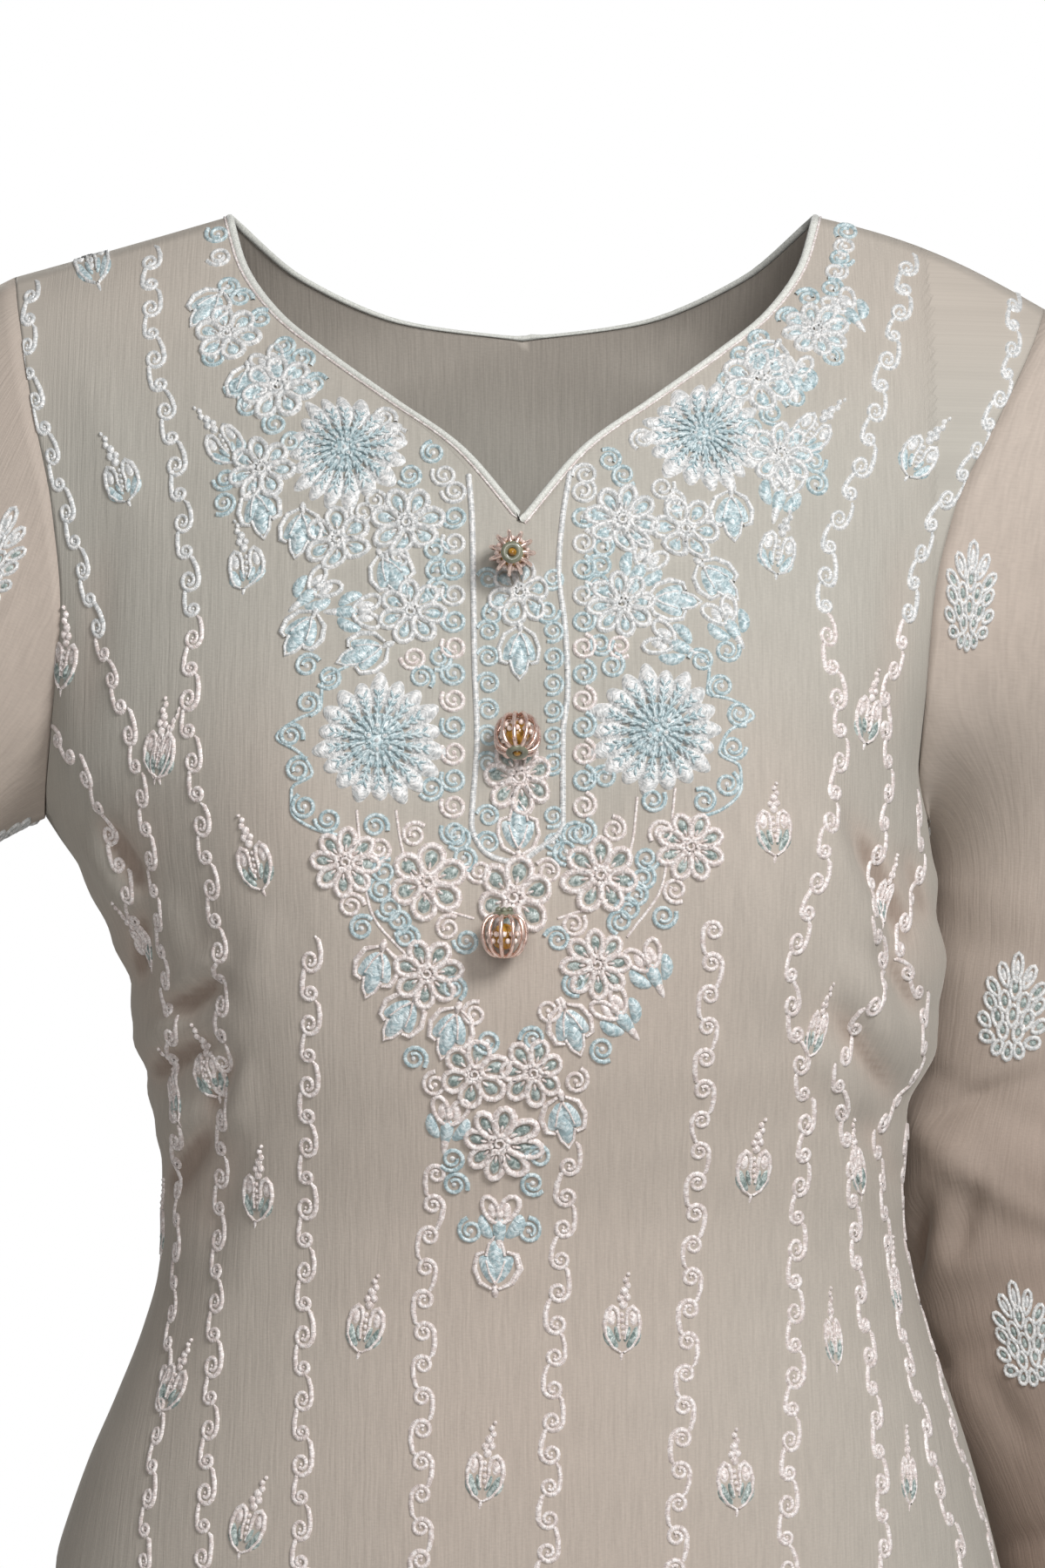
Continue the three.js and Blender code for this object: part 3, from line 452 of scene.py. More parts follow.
class Panel:
    """A cloth surface as a fine grid: its points, cloth coordinates, and where motifs go on it."""

    def __init__(self, points, ring=False):
        self.points = points
        self.ring = ring
        across = np.linalg.norm(np.diff(points, axis=1), axis=-1)
        self.across = np.concatenate([np.zeros((len(points), 1)), np.cumsum(across, 1)], 1)
        self.along = distance(points[:, points.shape[1] // 2])
        down_rows = np.gradient(points, axis=0)
        down_columns = np.gradient(points, axis=1)
        if ring:
            down_columns[:, [0, -1]] = (points[:, 1:2] - points[:, -2:-1]) / 2
        normal = unit(np.cross(down_columns, down_rows))
        middle = points.mean(1, keepdims=True) if ring else points * [0, 0, 1] + [0, SIDE_SEAM_Y, 0]
        self.outside = np.sign(np.mean(np.sum(normal * (points - middle), -1)))
        self.normals = normal * self.outside

    def outward(self, faces):
        """Faces turned so that they look out."""
        return faces[:, ::-1] if self.outside < 0 else faces

    def sample(self, values, row, column):
        """Values of the grid at fractional rows and columns."""
        rows, columns = self.points.shape[:2]
        row = np.clip(row, 0, rows - 1.001)
        if self.ring:
            column = column % (columns - 1)
        column = np.clip(column, 0, columns - 1.001)
        r, c = row.astype(int), column.astype(int)
        fr, fc = (row - r)[..., None], (column - c)[..., None]
        top = mix(values[r + 1, c], values[r + 1, c + 1], fc)
        return mix(mix(values[r, c], values[r, c + 1], fc), top, fr)

    def axes(self, rows, columns):
        """Unit directions on the cloth (across, up and out) and the grid steps, at grid places."""
        normal = self.sample(self.normals, rows, columns)

        def step(row, column):
            ahead = self.sample(self.points, rows + row / 2, columns + column / 2)
            return ahead - self.sample(self.points, rows - row / 2, columns - column / 2)

        per_row, per_column = step(1, 0), step(0, 1)
        up = unit(per_row - normal * dot(per_row, normal))
        across = unit(np.cross(up, normal))
        return across, up, normal, per_row, per_column

    def place(self, rows, columns, shapes, turns):
        """Lays local points (across, up, out) in mm on the cloth, one set at each grid place."""
        across, up, _, per_row, per_column = self.axes(rows, columns)
        cos, sin = np.cos(turns)[:, None], np.sin(turns)[:, None]
        a = shapes[..., 0] * cos - shapes[..., 1] * sin
        b = shapes[..., 0] * sin + shapes[..., 1] * cos
        row_a, row_b = dot(per_row, across), dot(per_row, up)
        column_a, column_b = dot(per_column, across), dot(per_column, up)
        area = row_a * column_b - row_b * column_a
        area = np.where(np.abs(area) < 0.05, np.where(area < 0, -0.05, 0.05), area)
        at_row = rows[:, None] + (a * column_b - b * column_a) / area
        at_column = columns[:, None] + (b * row_a - a * row_b) / area
        base = self.sample(self.points, at_row, at_column)
        return base + self.sample(self.normals, at_row, at_column) * shapes[..., 2:3]

    def find(self, x, z):
        """Grid places whose points have these x and z."""
        x, z = np.atleast_1d(np.asarray(x, float)), np.atleast_1d(np.asarray(z, float))
        away = np.abs(self.points[..., 0][None] - x[:, None, None])
        away += np.abs(self.points[..., 2][None] - z[:, None, None])
        nearest = away.reshape(len(x), -1).argmin(1)
        row, column = (part.astype(float) for part in np.divmod(nearest, self.points.shape[1]))
        for _ in range(4):
            here = self.sample(self.points, row, column)
            _, _, _, per_row, per_column = self.axes(row, column)
            dx, dz = x - here[..., 0], z - here[..., 2]
            area = per_row[..., 0] * per_column[..., 2] - per_row[..., 2] * per_column[..., 0]
            area = np.where(np.abs(area) < 0.05, 0.05, area)
            row = row + np.clip((dx * per_column[..., 2] - dz * per_column[..., 0]) / area, -2, 2)
            column = column + np.clip((dz * per_row[..., 0] - dx * per_row[..., 2]) / area, -2, 2)
            row = np.clip(row, 0, self.points.shape[0] - 1)
            column = np.clip(column, 0, self.points.shape[1] - 1)
        return row, column


def kameez_levels():
    """Rows of the fine grid: closer together above the hip."""
    skirt = np.linspace(KAMEEZ_HEM_Z, FINE_ROWS_Z, SKIRT_ROWS)[:-1]
    body = np.linspace(FINE_ROWS_Z, ARMPIT_Z, round((ARMPIT_Z - FINE_ROWS_Z) / BODY_ROW) + 1)[:-1]
    levels = (np.concatenate([skirt, body]) - KAMEEZ_HEM_Z) / (ARMPIT_Z - KAMEEZ_HEM_Z)
    necks = [1 + NECK_ROW[face] / YOKE_ROWS for face in ("front", "back")]
    yoke = [np.linspace(a, b, n)[:-1] for a, b, n in zip([1] + necks, necks + [2], FINE_YOKE_ROWS)]
    return np.concatenate([levels, *yoke, [2.0]])


WARM_BELLY = {"wide": 150.0, "top": -200.0, "over": 120.0}
WARM_BUST = {"share": 0.6, "apart": 92.0, "wide": 42.0, "z": -232.0, "tall": 46.0}
WARM_SHOULDER = {"share": 0.5, "from": -110.0, "over": 90.0}
# Painted shade on the sleeves: darker from the cuff up to this far along the arm.
CUFF_SHADE = {"up_to": 400.0, "over": 330.0}


def cloth_warmth(points):
    """Sheer cloth looks warmer where it lies on the figure: the belly, the bust and the shoulders."""
    x, _, z = points.T
    belly = np.exp(-((x / WARM_BELLY["wide"]) ** 2)) * ease((WARM_BELLY["top"] - z) / WARM_BELLY["over"])
    across = (np.abs(x) - WARM_BUST["apart"]) / WARM_BUST["wide"]
    up = (z - WARM_BUST["z"]) / WARM_BUST["tall"]
    bust = WARM_BUST["share"] * np.exp(-(across**2) - up**2)
    shoulder = WARM_SHOULDER["share"] * ease((z - WARM_SHOULDER["from"]) / WARM_SHOULDER["over"])
    return np.clip(belly + bust + shoulder, 0, 1)


CLOTH = 0.8
# Painted shade in the valleys of folds and creases: the depth in mm where it is fullest, and how far it goes
# towards the shaded cloth colour on the kameez.
DEEP_CREASE = 4.5
CREASE_SHADE = 0.75
FINE_ROWS_Z = -560.0
SKIRT_ROWS = 44
BODY_ROW = 3.2
FINE_YOKE_ROWS = (36, 19, 24)
HALF_COLUMNS = 74
LEVELS = kameez_levels()
SHARES = np.linspace(0, 1, HALF_COLUMNS)


def kameez_panel(face, material):
    """The shell of the front or back, and its two halves as panels for stitching."""
    halves = {
        side: creased(kameez_point(face, side, LEVELS[:, None], SHARES[None, :]), face, side)
        for side in SIDES
    }
    whole = np.concatenate([halves["right"][:, :0:-1], halves["left"]], 1)
    rows, columns = whole.shape[:2]
    points = np.concatenate([whole.reshape(-1, 3), halves["right"][:, 0]])
    ids = numbered(rows, columns)
    middle = HALF_COLUMNS - 1
    right_ids = ids[:, : middle + 1].copy()
    open_rows = LEVELS > 1 + NECK_ROW[face] / YOKE_ROWS + 1e-6
    right_ids[open_rows, middle] = rows * columns + np.flatnonzero(open_rows)
    panel = Panel(whole)
    faces = panel.outward(np.concatenate([grid_faces(right_ids), grid_faces(ids[:, middle:])]))
    across = panel.across - panel.across[:, middle : middle + 1]
    armpit = int(np.argmin(np.abs(LEVELS - 1)))
    for row in range(armpit + 1, rows):
        across[row] = np.interp(whole[row, :, 0], whole[armpit, :, 0], across[armpit])
    uv = stack(across, whole[..., 2])
    uv = np.concatenate([uv.reshape(-1, 2), uv[:, middle]]) * MM
    x, z = points[:, 0], points[:, 2]
    # Painted shade: the cloth colour darkens towards the shaded cloth colour in the valleys of folds and
    # creases.
    lift = fold_lift(FOLDS[face], x, z) / 2 + fold_lift(CREASES[face], x, z, tapered=True)
    crease_shade_share = np.clip(-lift / DEEP_CREASE, 0, 1)
    warmth_and_shade = mix(cloth_warmth(points), 1 + CREASE_SHADE * crease_shade_share, crease_shade_share)
    shell = add_mesh(f"cloth_{face}", points, faces, material, uv, warmth_and_shade=warmth_and_shade)
    return thicken(shell, CLOTH), panel, {side: Panel(half) for side, half in halves.items()}


def arm_frame(side, run):
    """The arm's middle and its directions down, outward and back."""
    arm = ARMS[side]
    along = unit(track_point(arm, np.minimum(run + 0.05, 1)) - track_point(arm, np.maximum(run - 0.05, 0)))
    outward = unit(stack(-along[..., 2], 0 * run, along[..., 0]))
    outward *= np.sign(outward[..., :1]) * sign(side)
    back = np.cross(along, outward)
    back *= np.sign(back[..., 1:2])
    return track_point(arm, run), along, outward, back


def arm_point(side, run, turn):
    """turn goes once round from the inner side, over the front."""
    run, turn = np.broadcast_arrays(np.asarray(run, float), np.asarray(turn, float))
    middle, along, outward, back = arm_frame(side, run)
    angle = math.pi + turn * 2 * math.pi
    swell = np.zeros_like(run)
    for folds in (SLEEVE_FOLDS, SLEEVE_CREASES):
        for r, depth, width, twist, slant in each(folds):
            place = r + slant * np.sin(angle + twist * 4)
            share = 0.5 - 0.5 * np.cos(angle + twist)
            swell = swell + depth * share * np.exp(-(((run - place) / width) ** 2))
    wide = track(ARMS[side], "run", "wide", run) + swell * 0.6
    deep = track(ARMS[side], "run", "deep", run) + swell
    point = middle + outward * (wide * np.cos(angle))[..., None] + back * (deep * np.sin(angle))[..., None]
    return point, along


CAP_ROWS, ARM_ROWS, ROUND_COLUMNS = 36, 104, 96
# How a sleeve leaves its armhole: its direction and gap at the armpit and at the shoulder.
CAP = {"out": (0.86, 0.9), "down": (-0.5, -0.42), "clear": (1.2, 0.1), "reach": 0.38}


def sleeve_points(side):
    turn = np.linspace(0, 1, ROUND_COLUMNS + 1)
    up_front = turn <= 0.5
    run = np.where(up_front, turn * 2, 2 - turn * 2)
    front = track_point(ARMHOLES[side, "front"], run)
    back = track_point(ARMHOLES[side, "back"], run)
    start = np.where(up_front[:, None], front, back)
    end, along = arm_point(side, np.zeros_like(turn), turn)
    leave = unit(stack(sign(side) * mix(*CAP["out"], run), 0 * run, mix(*CAP["down"], run)))
    start = start + leave * mix(*CAP["clear"], ease(run * 2.2))[:, None]
    reach = np.linalg.norm(end - start, axis=-1, keepdims=True) * CAP["reach"]
    s = np.linspace(0, 1, CAP_ROWS + 1)[:-1, None, None]
    second = start + leave * reach * mix(0.2, 1, ease(run * 2.5))[:, None]
    third = end - along * reach
    cap = (1 - s) ** 3 * start + 3 * (1 - s) ** 2 * s * second + 3 * (1 - s) * s**2 * third + s**3 * end
    arm, _ = arm_point(side, np.linspace(0, 1, ARM_ROWS + 1)[:, None], turn[None, :])
    return np.concatenate([cap, arm])[::-1]


# Fine creases pressed into the front of each sleeve.
SLEEVE_DENTS = {
    "left": table("x1 z1 x2 z2 depth width", [
        [165, -402, 159.5, -436, -5.5, 4], [184.5, -395, 178, -421, -3.4, 3.2],
        [156, -345, 147, -371, -5, 8], [169, -365, 202, -350, -2.0, 3], [151, -408, 179, -380, 2.4, 8],
        [164, -455, 174, -472, -3, 3.2], [174, -398, 169, -425, 2.4, 4.5], [188, -470, 206, -500, -2.6, 6],
    ]),
    "right": table("x1 z1 x2 z2 depth width", [
        [-322, -380, -292, -404, -4, 5], [-330, -415, -300, -436, 2.4, 7],
        [-334, -470, -306, -452, -3.4, 5],
    ]),
}


def dented(side, points):
    """The sleeve with fine creases pressed square into its front, and how much painted shade each point takes
    in their valleys.
    """
    turn = np.linspace(0, 1, points.shape[1])
    free = ease(turn * 10) * ease((0.5 - turn) * 10)
    lift = fold_lift(SLEEVE_DENTS[side], points[..., 0], points[..., 2], tapered=True) * free
    return points + Panel(points, ring=True).normals * lift[..., None], np.clip(-lift / DEEP_CREASE, 0, 1)


def sleeve_grain(side, points):
    """Cloth coordinates whose grain runs down the arm, also over the cap."""
    run = np.linspace(1, 0, ARM_ROWS + 1)
    run = np.concatenate([run, np.zeros(CAP_ROWS)])[:, None]
    middle, along, outward, back = arm_frame(side, run)
    away = points - middle
    turn = np.linspace(0, 1, points.shape[1])
    steady = math.pi + turn * 2 * math.pi
    angle = np.arctan2(np.sum(away * back, -1), np.sum(away * outward, -1))
    angle = steady + (angle - steady + math.pi) % (2 * math.pi) - math.pi
    down = distance(middle[:, 0])[:, None] - np.sum(away * along, -1)
    return stack(angle * 52, down)


def ring_shell(name, points, material, thickness, grain=None, crease_shade_share=0.0):
    """A tube of cloth whose last column repeats its first, with rows from its lower end up."""
    panel = Panel(points, ring=True)
    rows, columns = points.shape[:2]
    uv = stack(panel.across, panel.along[:, None]) if grain is None else grain
    # Painted shade: the sleeve darkens towards the shaded cloth colour near the cuff and in the valleys of
    # its creases.
    low = ease((CUFF_SHADE["up_to"] - panel.along) / CUFF_SHADE["over"])[:, None]
    warmth_and_shade = 1 + np.maximum(low, np.broadcast_to(crease_shade_share, (rows, columns))).ravel()
    faces = panel.outward(grid_faces(numbered(rows, columns)))
    shell = add_mesh(name, points.reshape(-1, 3), faces, material, uv.reshape(-1, 2) * MM, warmth_and_shade=warmth_and_shade)
    return thicken(close(shell, 1e-6), thickness), panel


# ---- trousers ----


def hip_point(side, z, turn):
    """turn runs from centre front (0), round the outer side, to centre back (1)."""
    inset = track(TROUSER_INSET, "z", "inset", z)
    t = np.where(turn <= 0.5, turn * 2, 2 - turn * 2)
    front = ring_point("front", side, z, t, inset)
    back = ring_point("back", side, z, t, inset)
    return np.where((turn <= 0.5)[..., None], front, back)


def knee_point(side, turn):
    """turn past 1 goes on through the inside of the leg, to 2."""
    outer = mix(-LEG_OPENING_ANGLE, LEG_OPENING_ANGLE, turn)
    inner = mix(LEG_OPENING_ANGLE, 2 * math.pi - LEG_OPENING_ANGLE, turn - 1)
    angle = np.where(turn <= 1, outer, inner)
    x = sign(side) * (KNEE["x"] + KNEE["wide"] * np.cos(angle))
    return stack(x, SIDE_SEAM_Y + KNEE["deep"] * np.sin(angle), 0 * turn + KNEE_SEAM_Z)


LEG_CREASES = table("z turn tall wide depth", [
    [-700, 0.1, 26, 0.1, -3], [-760, 0.3, 30, 0.12, 3], [-840, 0.62, 26, 0.12, -3],
    [-900, 0.2, 22, 0.12, 3], [-880, 0.85, 24, 0.1, 2.5], [-640, 0.8, 22, 0.1, -2.5],
])


def leg_point(side, z, turn):
    z, turn = np.broadcast_arrays(np.asarray(z, float), np.asarray(turn, float))
    hip = hip_point(side, z, np.minimum(turn, 1))
    at_crotch = np.full_like(z, CROTCH_Z)
    outer = hip_point(side, at_crotch, np.minimum(turn, 1))
    middle_back = hip_point(side, at_crotch, np.ones_like(turn))
    middle_front = hip_point(side, at_crotch, np.zeros_like(turn))
    inside = np.clip(turn - 1, 0, 1)
    crotch = mix(middle_back, middle_front, inside[..., None])
    crotch[..., 0] = sign(side) * CROTCH_CLEAR * np.sin(np.pi * inside)
    top = np.where((turn <= 1)[..., None], outer, crotch)
    share = np.clip((CROTCH_Z - z) / (CROTCH_Z - KNEE_SEAM_Z), 0, 1)
    lower = mix(top, knee_point(side, turn), mix(share, ease(share), 0.5)[..., None])
    lower[..., 2] = z
    point = np.where((z >= CROTCH_Z)[..., None], hip, lower)
    swell = np.zeros_like(z)
    for cz, ct, tall, wide, depth in each(LEG_CREASES):
        swell += depth * np.exp(-(((z - cz + 40 * (turn - ct)) / tall) ** 2) - ((turn - ct) / wide) ** 2)
    centre = np.array([sign(side) * KNEE["x"], SIDE_SEAM_Y, 0])
    return point + unit((point - centre) * [1, 1, 0]) * swell[..., None]


LEG_ROWS, OUTER_COLUMNS, INNER_COLUMNS = 28, 97, 19
WAISTBAND_ROWS, WAISTBAND_COLUMNS = 9, 121
FLARE_ROWS, FLARE_COLUMNS = 44, 289


def leg_shell(side, material):
    upper = np.linspace(CROTCH_Z, WAISTBAND_BASE_Z, LEG_ROWS)
    lower = np.linspace(KNEE_SEAM_Z, CROTCH_Z, LEG_ROWS)
    outer, inner = np.linspace(0, 1, OUTER_COLUMNS), np.linspace(1, 2, INNER_COLUMNS)
    tube = leg_point(side, lower[:, None], np.concatenate([outer, inner[1:]])[None, :])
    hip = leg_point(side, upper[1:, None], outer[None, :])
    points = np.concatenate([tube.reshape(-1, 3), hip.reshape(-1, 3)])
    tube_ids = numbered(*tube.shape[:2])
    hip_ids = tube_ids.size + numbered(*hip.shape[:2])
    hip_ids = np.concatenate([tube_ids[-1:, : len(outer)], hip_ids])
    faces = np.concatenate([grid_faces(tube_ids), grid_faces(hip_ids)])
    if side == "right":
        faces = faces[:, ::-1]
    uv = stack(np.arctan2(points[:, 1], points[:, 0]) * 120, points[:, 2]) * MM
    shell = add_mesh(f"satin_leg_{side}", points, faces, material, uv)
    return thicken(close(shell, 1e-5), 0.8)


def waistband_shell(material):
    z = np.linspace(WAISTBAND_BASE_Z, WAISTBAND_TOP_Z, WAISTBAND_ROWS)
    turn = np.linspace(0, 1, WAISTBAND_COLUMNS)
    left = hip_point("left", *np.meshgrid(z, turn, indexing="ij"))
    right = hip_point("right", *np.meshgrid(z, turn[::-1], indexing="ij"))
    points = np.concatenate([left, right[:, 1:]], 1)
    angle = np.linspace(0, 2 * math.pi, points.shape[1])
    tall = (z - WAISTBAND_BASE_Z) / (WAISTBAND_TOP_Z - WAISTBAND_BASE_Z)
    gather = 0.8 * np.sin(angle * 46 + 2 * np.sin(angle * 7)) * np.sin(np.pi * tall)[:, None]
    centre = np.array([4.5, SIDE_SEAM_Y, 0])
    points = points + unit((points - centre) * [1, 1, 0]) * gather[..., None]
    return ring_shell("satin_waistband", points, material, 1.0)[0]


def flare_point(side, share, turn):
    share, turn = np.broadcast_arrays(np.asarray(share, float), np.asarray(turn, float))
    angle = turn * 2 * math.pi
    across = np.cos(angle)
    opened = mix(share, share**0.7, 0.5)
    reach = mix(KNEE["wide"], np.where(across < 0, FLARE_HEM["inner"], FLARE_HEM["outer"]), opened)
    deep = mix(KNEE["deep"], FLARE_HEM["deep"], opened)
    middle = mix(KNEE["x"], FLARE_HEM["middle"], opened)
    inner_side = ease(np.maximum(-across, 0))
    hem_wave = mix(FLARE_WAVE["hem"], FLARE_WAVE["inner_hem"], inner_side)
    size = 1 + FLARE_WAVE["uneven"] * np.sin(angle * 5 + 0.6) * np.cos(angle * 3)
    phase = FLARE_WAVES * (angle + FLARE_WAVE["sway"] * share * np.sin(angle * 4) * 0.25)
    wave = mix(FLARE_WAVE["top"], hem_wave * size, opened) * np.cos(phase)
    wave = wave + 1.1 * np.sin(angle * 61 + 3 * np.sin(angle * 9)) * np.exp(-share * 16)
    x = sign(side) * (middle + (reach + wave) * across)
    y = SIDE_SEAM_Y + (deep + wave) * np.sin(angle)
    return stack(x, y, mix(KNEE_SEAM_Z, FLARE_HEM_Z, share))


def flare_shell(side, material):
    share = np.linspace(1, 0, FLARE_ROWS) ** 1.2
    points = flare_point(side, share[:, None], np.linspace(0, 1, FLARE_COLUMNS)[None, :])
    return ring_shell(f"satin_flare_{side}", points, material, 0.9)[0]


# ---- materials ----


def srgb(r, g, b):
    def one(c):
        c /= 255
        return c / 12.92 if c <= 0.04045 else ((c + 0.055) / 1.055) ** 2.4

    return (one(r), one(g), one(b), 1)


class Nodes:
    """A material and short ways to add nodes to it."""

    def __init__(self, name):
        self.material = bpy.data.materials.new(name)
        self.material.use_nodes = True
        self.tree = self.material.node_tree
        self.shader = self.tree.nodes["Principled BSDF"]

    def put(self, socket, value):
        if isinstance(value, bpy.types.NodeSocket):
            self.tree.links.new(value, socket)
        else:
            socket.default_value = value

    def add(self, kind, inputs=(), **settings):
        """A node with its inputs set or linked: its outputs."""
        node = self.tree.nodes.new("ShaderNode" + kind)
        for name, value in settings.items():
            setattr(node, name, value)
        for name, value in dict(inputs).items():
            self.put(node.inputs[name], value)
        return node.outputs

    def shade(self, **inputs):
        for name, value in inputs.items():
            self.put(self.shader.inputs[name.replace("_", " ")], value)

    def cloth(self):
        return self.add("UVMap", uv_map="cloth")[0]

    def place(self):
        return self.add("TexCoord")["Object"]

    def noise(self, vector, scale, detail=2.0, output=0):
        return self.add("TexNoise", {"Vector": vector, "Scale": scale, "Detail": detail})[output]

    def streaks(self, vector, scale, detail):
        """Noise drawn out along the cloth."""
        return self.noise(self.add("Mapping", {"Vector": vector, "Scale": scale})[0], 1.0, detail)

    def blend(self, factor, first, second, blend_type="MIX"):
        return self.add("Mix", {0: factor, 6: first, 7: second}, data_type="RGBA", blend_type=blend_type)[2]

    def remap(self, value, low, high, to_low=0.0, to_high=1.0):
        return self.add("MapRange", {0: value, 1: low, 2: high, 3: to_low, 4: to_high})[0]

    def shaded(self, colour, shade):
        """A colour made darker or lighter by a number."""
        grey = self.add("CombineColor", {0: shade, 1: shade, 2: shade})[0]
        return self.blend(1.0, colour, grey, "MULTIPLY")

    def bumps(self, *layers):
        """Bump layers of (height socket, strength, distance in mm), one on the other."""
        normal = {}
        for height, strength, deep in layers:
            inputs = {"Height": height, "Strength": strength, "Distance": deep * MM, **normal}
            normal = {"Normal": self.add("Bump", inputs)[0]}
        self.shade(**normal)


def georgette():
    """Crinkled crepe: fine uneven ridges down the grain, and a pebbly twist between them."""
    n = Nodes("georgette")
    uv = n.cloth()
    sway = n.noise(uv, 60.0, 1.0, output=1)
    sway = n.add("VectorMath", {0: sway, 1: (0.0012, 0, 0)}, operation="MULTIPLY")[0]
    swayed = n.add("VectorMath", {0: uv, 1: sway}, operation="ADD")[0]
    ridges = n.streaks(swayed, (1050, 60, 1), 1.5)
    broad = n.streaks(swayed, (300, 6, 1), 1.0)
    slubs = n.streaks(uv, (500, 1500, 1), 2.0)
    patches = n.noise(uv, 7.0)
    # Warmth and painted shade: from 0 to 1 the cloth goes from cool to warm, from 1 to 2 from warm to painted
    # shade.
    warmth_and_shade = n.add("Attribute", attribute_name="warmth_and_shade")["Fac"]
    body = n.blend(n.remap(warmth_and_shade, 0, 1), COOL_CLOTH, WARM_CLOTH)
    body = n.blend(n.remap(warmth_and_shade, 1, 2), body, SHADED_CLOTH)
    patch = n.blend(n.remap(patches, 0.35, 0.65), COOL_CLOTH, WARM_CLOTH)
    colour = n.blend(0.14, body, patch)
    fine = n.remap(ridges, 0.3, 0.66, 0.93, 1.03)
    wide = n.remap(broad, 0.3, 0.7, 0.98, 1.01)
    weft = n.remap(slubs, 0.3, 0.7, 0.95, 1.03)
    shade = n.add("Math", {0: fine, 1: wide}, operation="MULTIPLY")[0]
    shade = n.add("Math", {0: shade, 1: weft}, operation="MULTIPLY")[0]
    n.shade(Base_Color=n.shaded(colour, shade), Roughness=0.7, Sheen_Weight=0.2, Sheen_Roughness=0.4,
            Sheen_Tint=srgb(255, 250, 240), Specular_IOR_Level=0.3)
    n.bumps((broad, 0.35, 0.7), (ridges, 0.5, 0.35), (slubs, 0.3, 0.12))
    return n.material


def satin():
    n = Nodes("satin")
    uv = n.cloth()
    threads = n.streaks(uv, (3200, 120, 1), 1.0)
    wide = n.noise(uv, 14.0, 3.0)
    colour = n.blend(n.remap(wide, 0.35, 0.65), srgb(196, 166, 140), srgb(212, 184, 158))
    rough = n.remap(threads, 0.3, 0.7, 0.36, 0.46)
    n.shade(Base_Color=colour, Roughness=rough, Sheen_Weight=0.15, Specular_IOR_Level=0.5)
    n.bumps((wide, 0.07, 2.0), (threads, 0.12, 0.08))
    return n.material


def thread(name, pale, deep):
    """Glossy rayon: fine stitches across each shape, so that light breaks up on them, with painted shade
    between the stitches and painted highlights along them.
    """
    n = Nodes(name)
    stitches = n.streaks(n.cloth(), (1900, 260, 1), 2.0)
    patches = n.noise(n.place(), 620.0)
    colour = n.blend(n.remap(patches, 0.4, 0.62), deep, pale)
    # Painted shade and highlights: the colour darkens and brightens along the stitch streaks.
    colour = n.shaded(colour, n.remap(stitches, 0.32, 0.6, 0.7, 1.12))
    n.shade(Base_Color=colour, Roughness=0.3, Sheen_Weight=0.3, Specular_IOR_Level=0.8)
    n.bumps((patches, 0.45, 0.6), (stitches, 0.85, 0.4))
    return n.material


def piping_cloth():
    n = Nodes("piping")
    weave = n.noise(n.place(), 1500.0)
    colour = n.blend(n.remap(weave, 0.35, 0.65), srgb(188, 189, 182), srgb(216, 216, 210))
    n.shade(Base_Color=colour, Roughness=0.6, Sheen_Weight=0.3)
    n.bumps((weave, 0.4, 0.25))
    return n.material


def wire():
    n = Nodes("rose_gold_wire")
    wear = n.noise(n.place(), 500.0, 3.0)
    colour = n.blend(n.remap(wear, 0.35, 0.7), srgb(232, 196, 182), srgb(254, 232, 222))
    n.shade(Base_Color=colour, Metallic=0.85, Roughness=n.remap(wear, 0.3, 0.7, 0.2, 0.38))
    return n.material


def bead(name, dark, bright, roughness):
    n = Nodes(name)
    cloud = n.noise(n.place(), 330.0, 3.0)
    colour = n.blend(n.remap(cloud, 0.35, 0.65), dark, bright)
    n.shade(Base_Color=colour, Roughness=roughness, Coat_Weight=0.6, Coat_Roughness=0.12)
    return n.material


COOL_CLOTH = srgb(169, 165, 156)
WARM_CLOTH = srgb(178, 165, 154)
SHADED_CLOTH = srgb(136, 116, 103)
GEORGETTE = georgette()
SATIN = satin()
PIPING = piping_cloth()
THREADS = {
    "pink": (thread("thread_pink", srgb(237, 229, 226), srgb(204, 190, 185)), "thread_pink"),
    "silver": (thread("thread_silver", srgb(227, 225, 223), srgb(190, 192, 192)), "thread_pink"),
    "aqua": (thread("thread_aqua", srgb(204, 215, 217), srgb(150, 172, 177)), "thread_aqua"),
    "teal": (thread("thread_teal", srgb(182, 192, 188), srgb(112, 128, 124)), "thread_aqua"),
}
PINK = THREADS["pink"][0]
WIRE = wire()
AMBER = bead("amber_bead", srgb(120, 78, 20), srgb(206, 156, 58), 0.2)
OLIVE = bead("olive_cap", srgb(96, 98, 80), srgb(132, 132, 112), 0.3)
PEARL = bead("pearl_beads", srgb(226, 200, 190), srgb(250, 238, 230), 0.15)

# ---- the cloth ----

front_shell, front, front_halves = kameez_panel("front", GEORGETTE)
back_shell, back, back_halves = kameez_panel("back", GEORGETTE)
sleeves = {}
for side in SIDES:
    points, crease_shade_share = dented(side, sleeve_points(side))
    grain = sleeve_grain(side, points)
    sleeves[side] = ring_shell(f"cloth_sleeve_{side}", points, GEORGETTE, CLOTH, grain, crease_shade_share)
legs = {side: leg_shell(side, SATIN) for side in SIDES}
flares = {side: flare_shell(side, SATIN) for side in SIDES}
band = waistband_shell(SATIN)

for shell, node, slot in [
    (front_shell, "kameez_front", "georgette"),
    (back_shell, "kameez_back", "georgette"),
    (sleeves["left"][0], "sleeve_left", "georgette"),
    (sleeves["right"][0], "sleeve_right", "georgette"),
    (legs["left"], "gharara_leg_left", "satin"),
    (flares["left"], "gharara_flare_left", "satin"),
    (legs["right"], "gharara_leg_right", "satin"),
    (flares["right"], "gharara_flare_right", "satin"),
    (band, "gharara_waistband", "satin"),
]:
    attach(shell, "root")
    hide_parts(node)

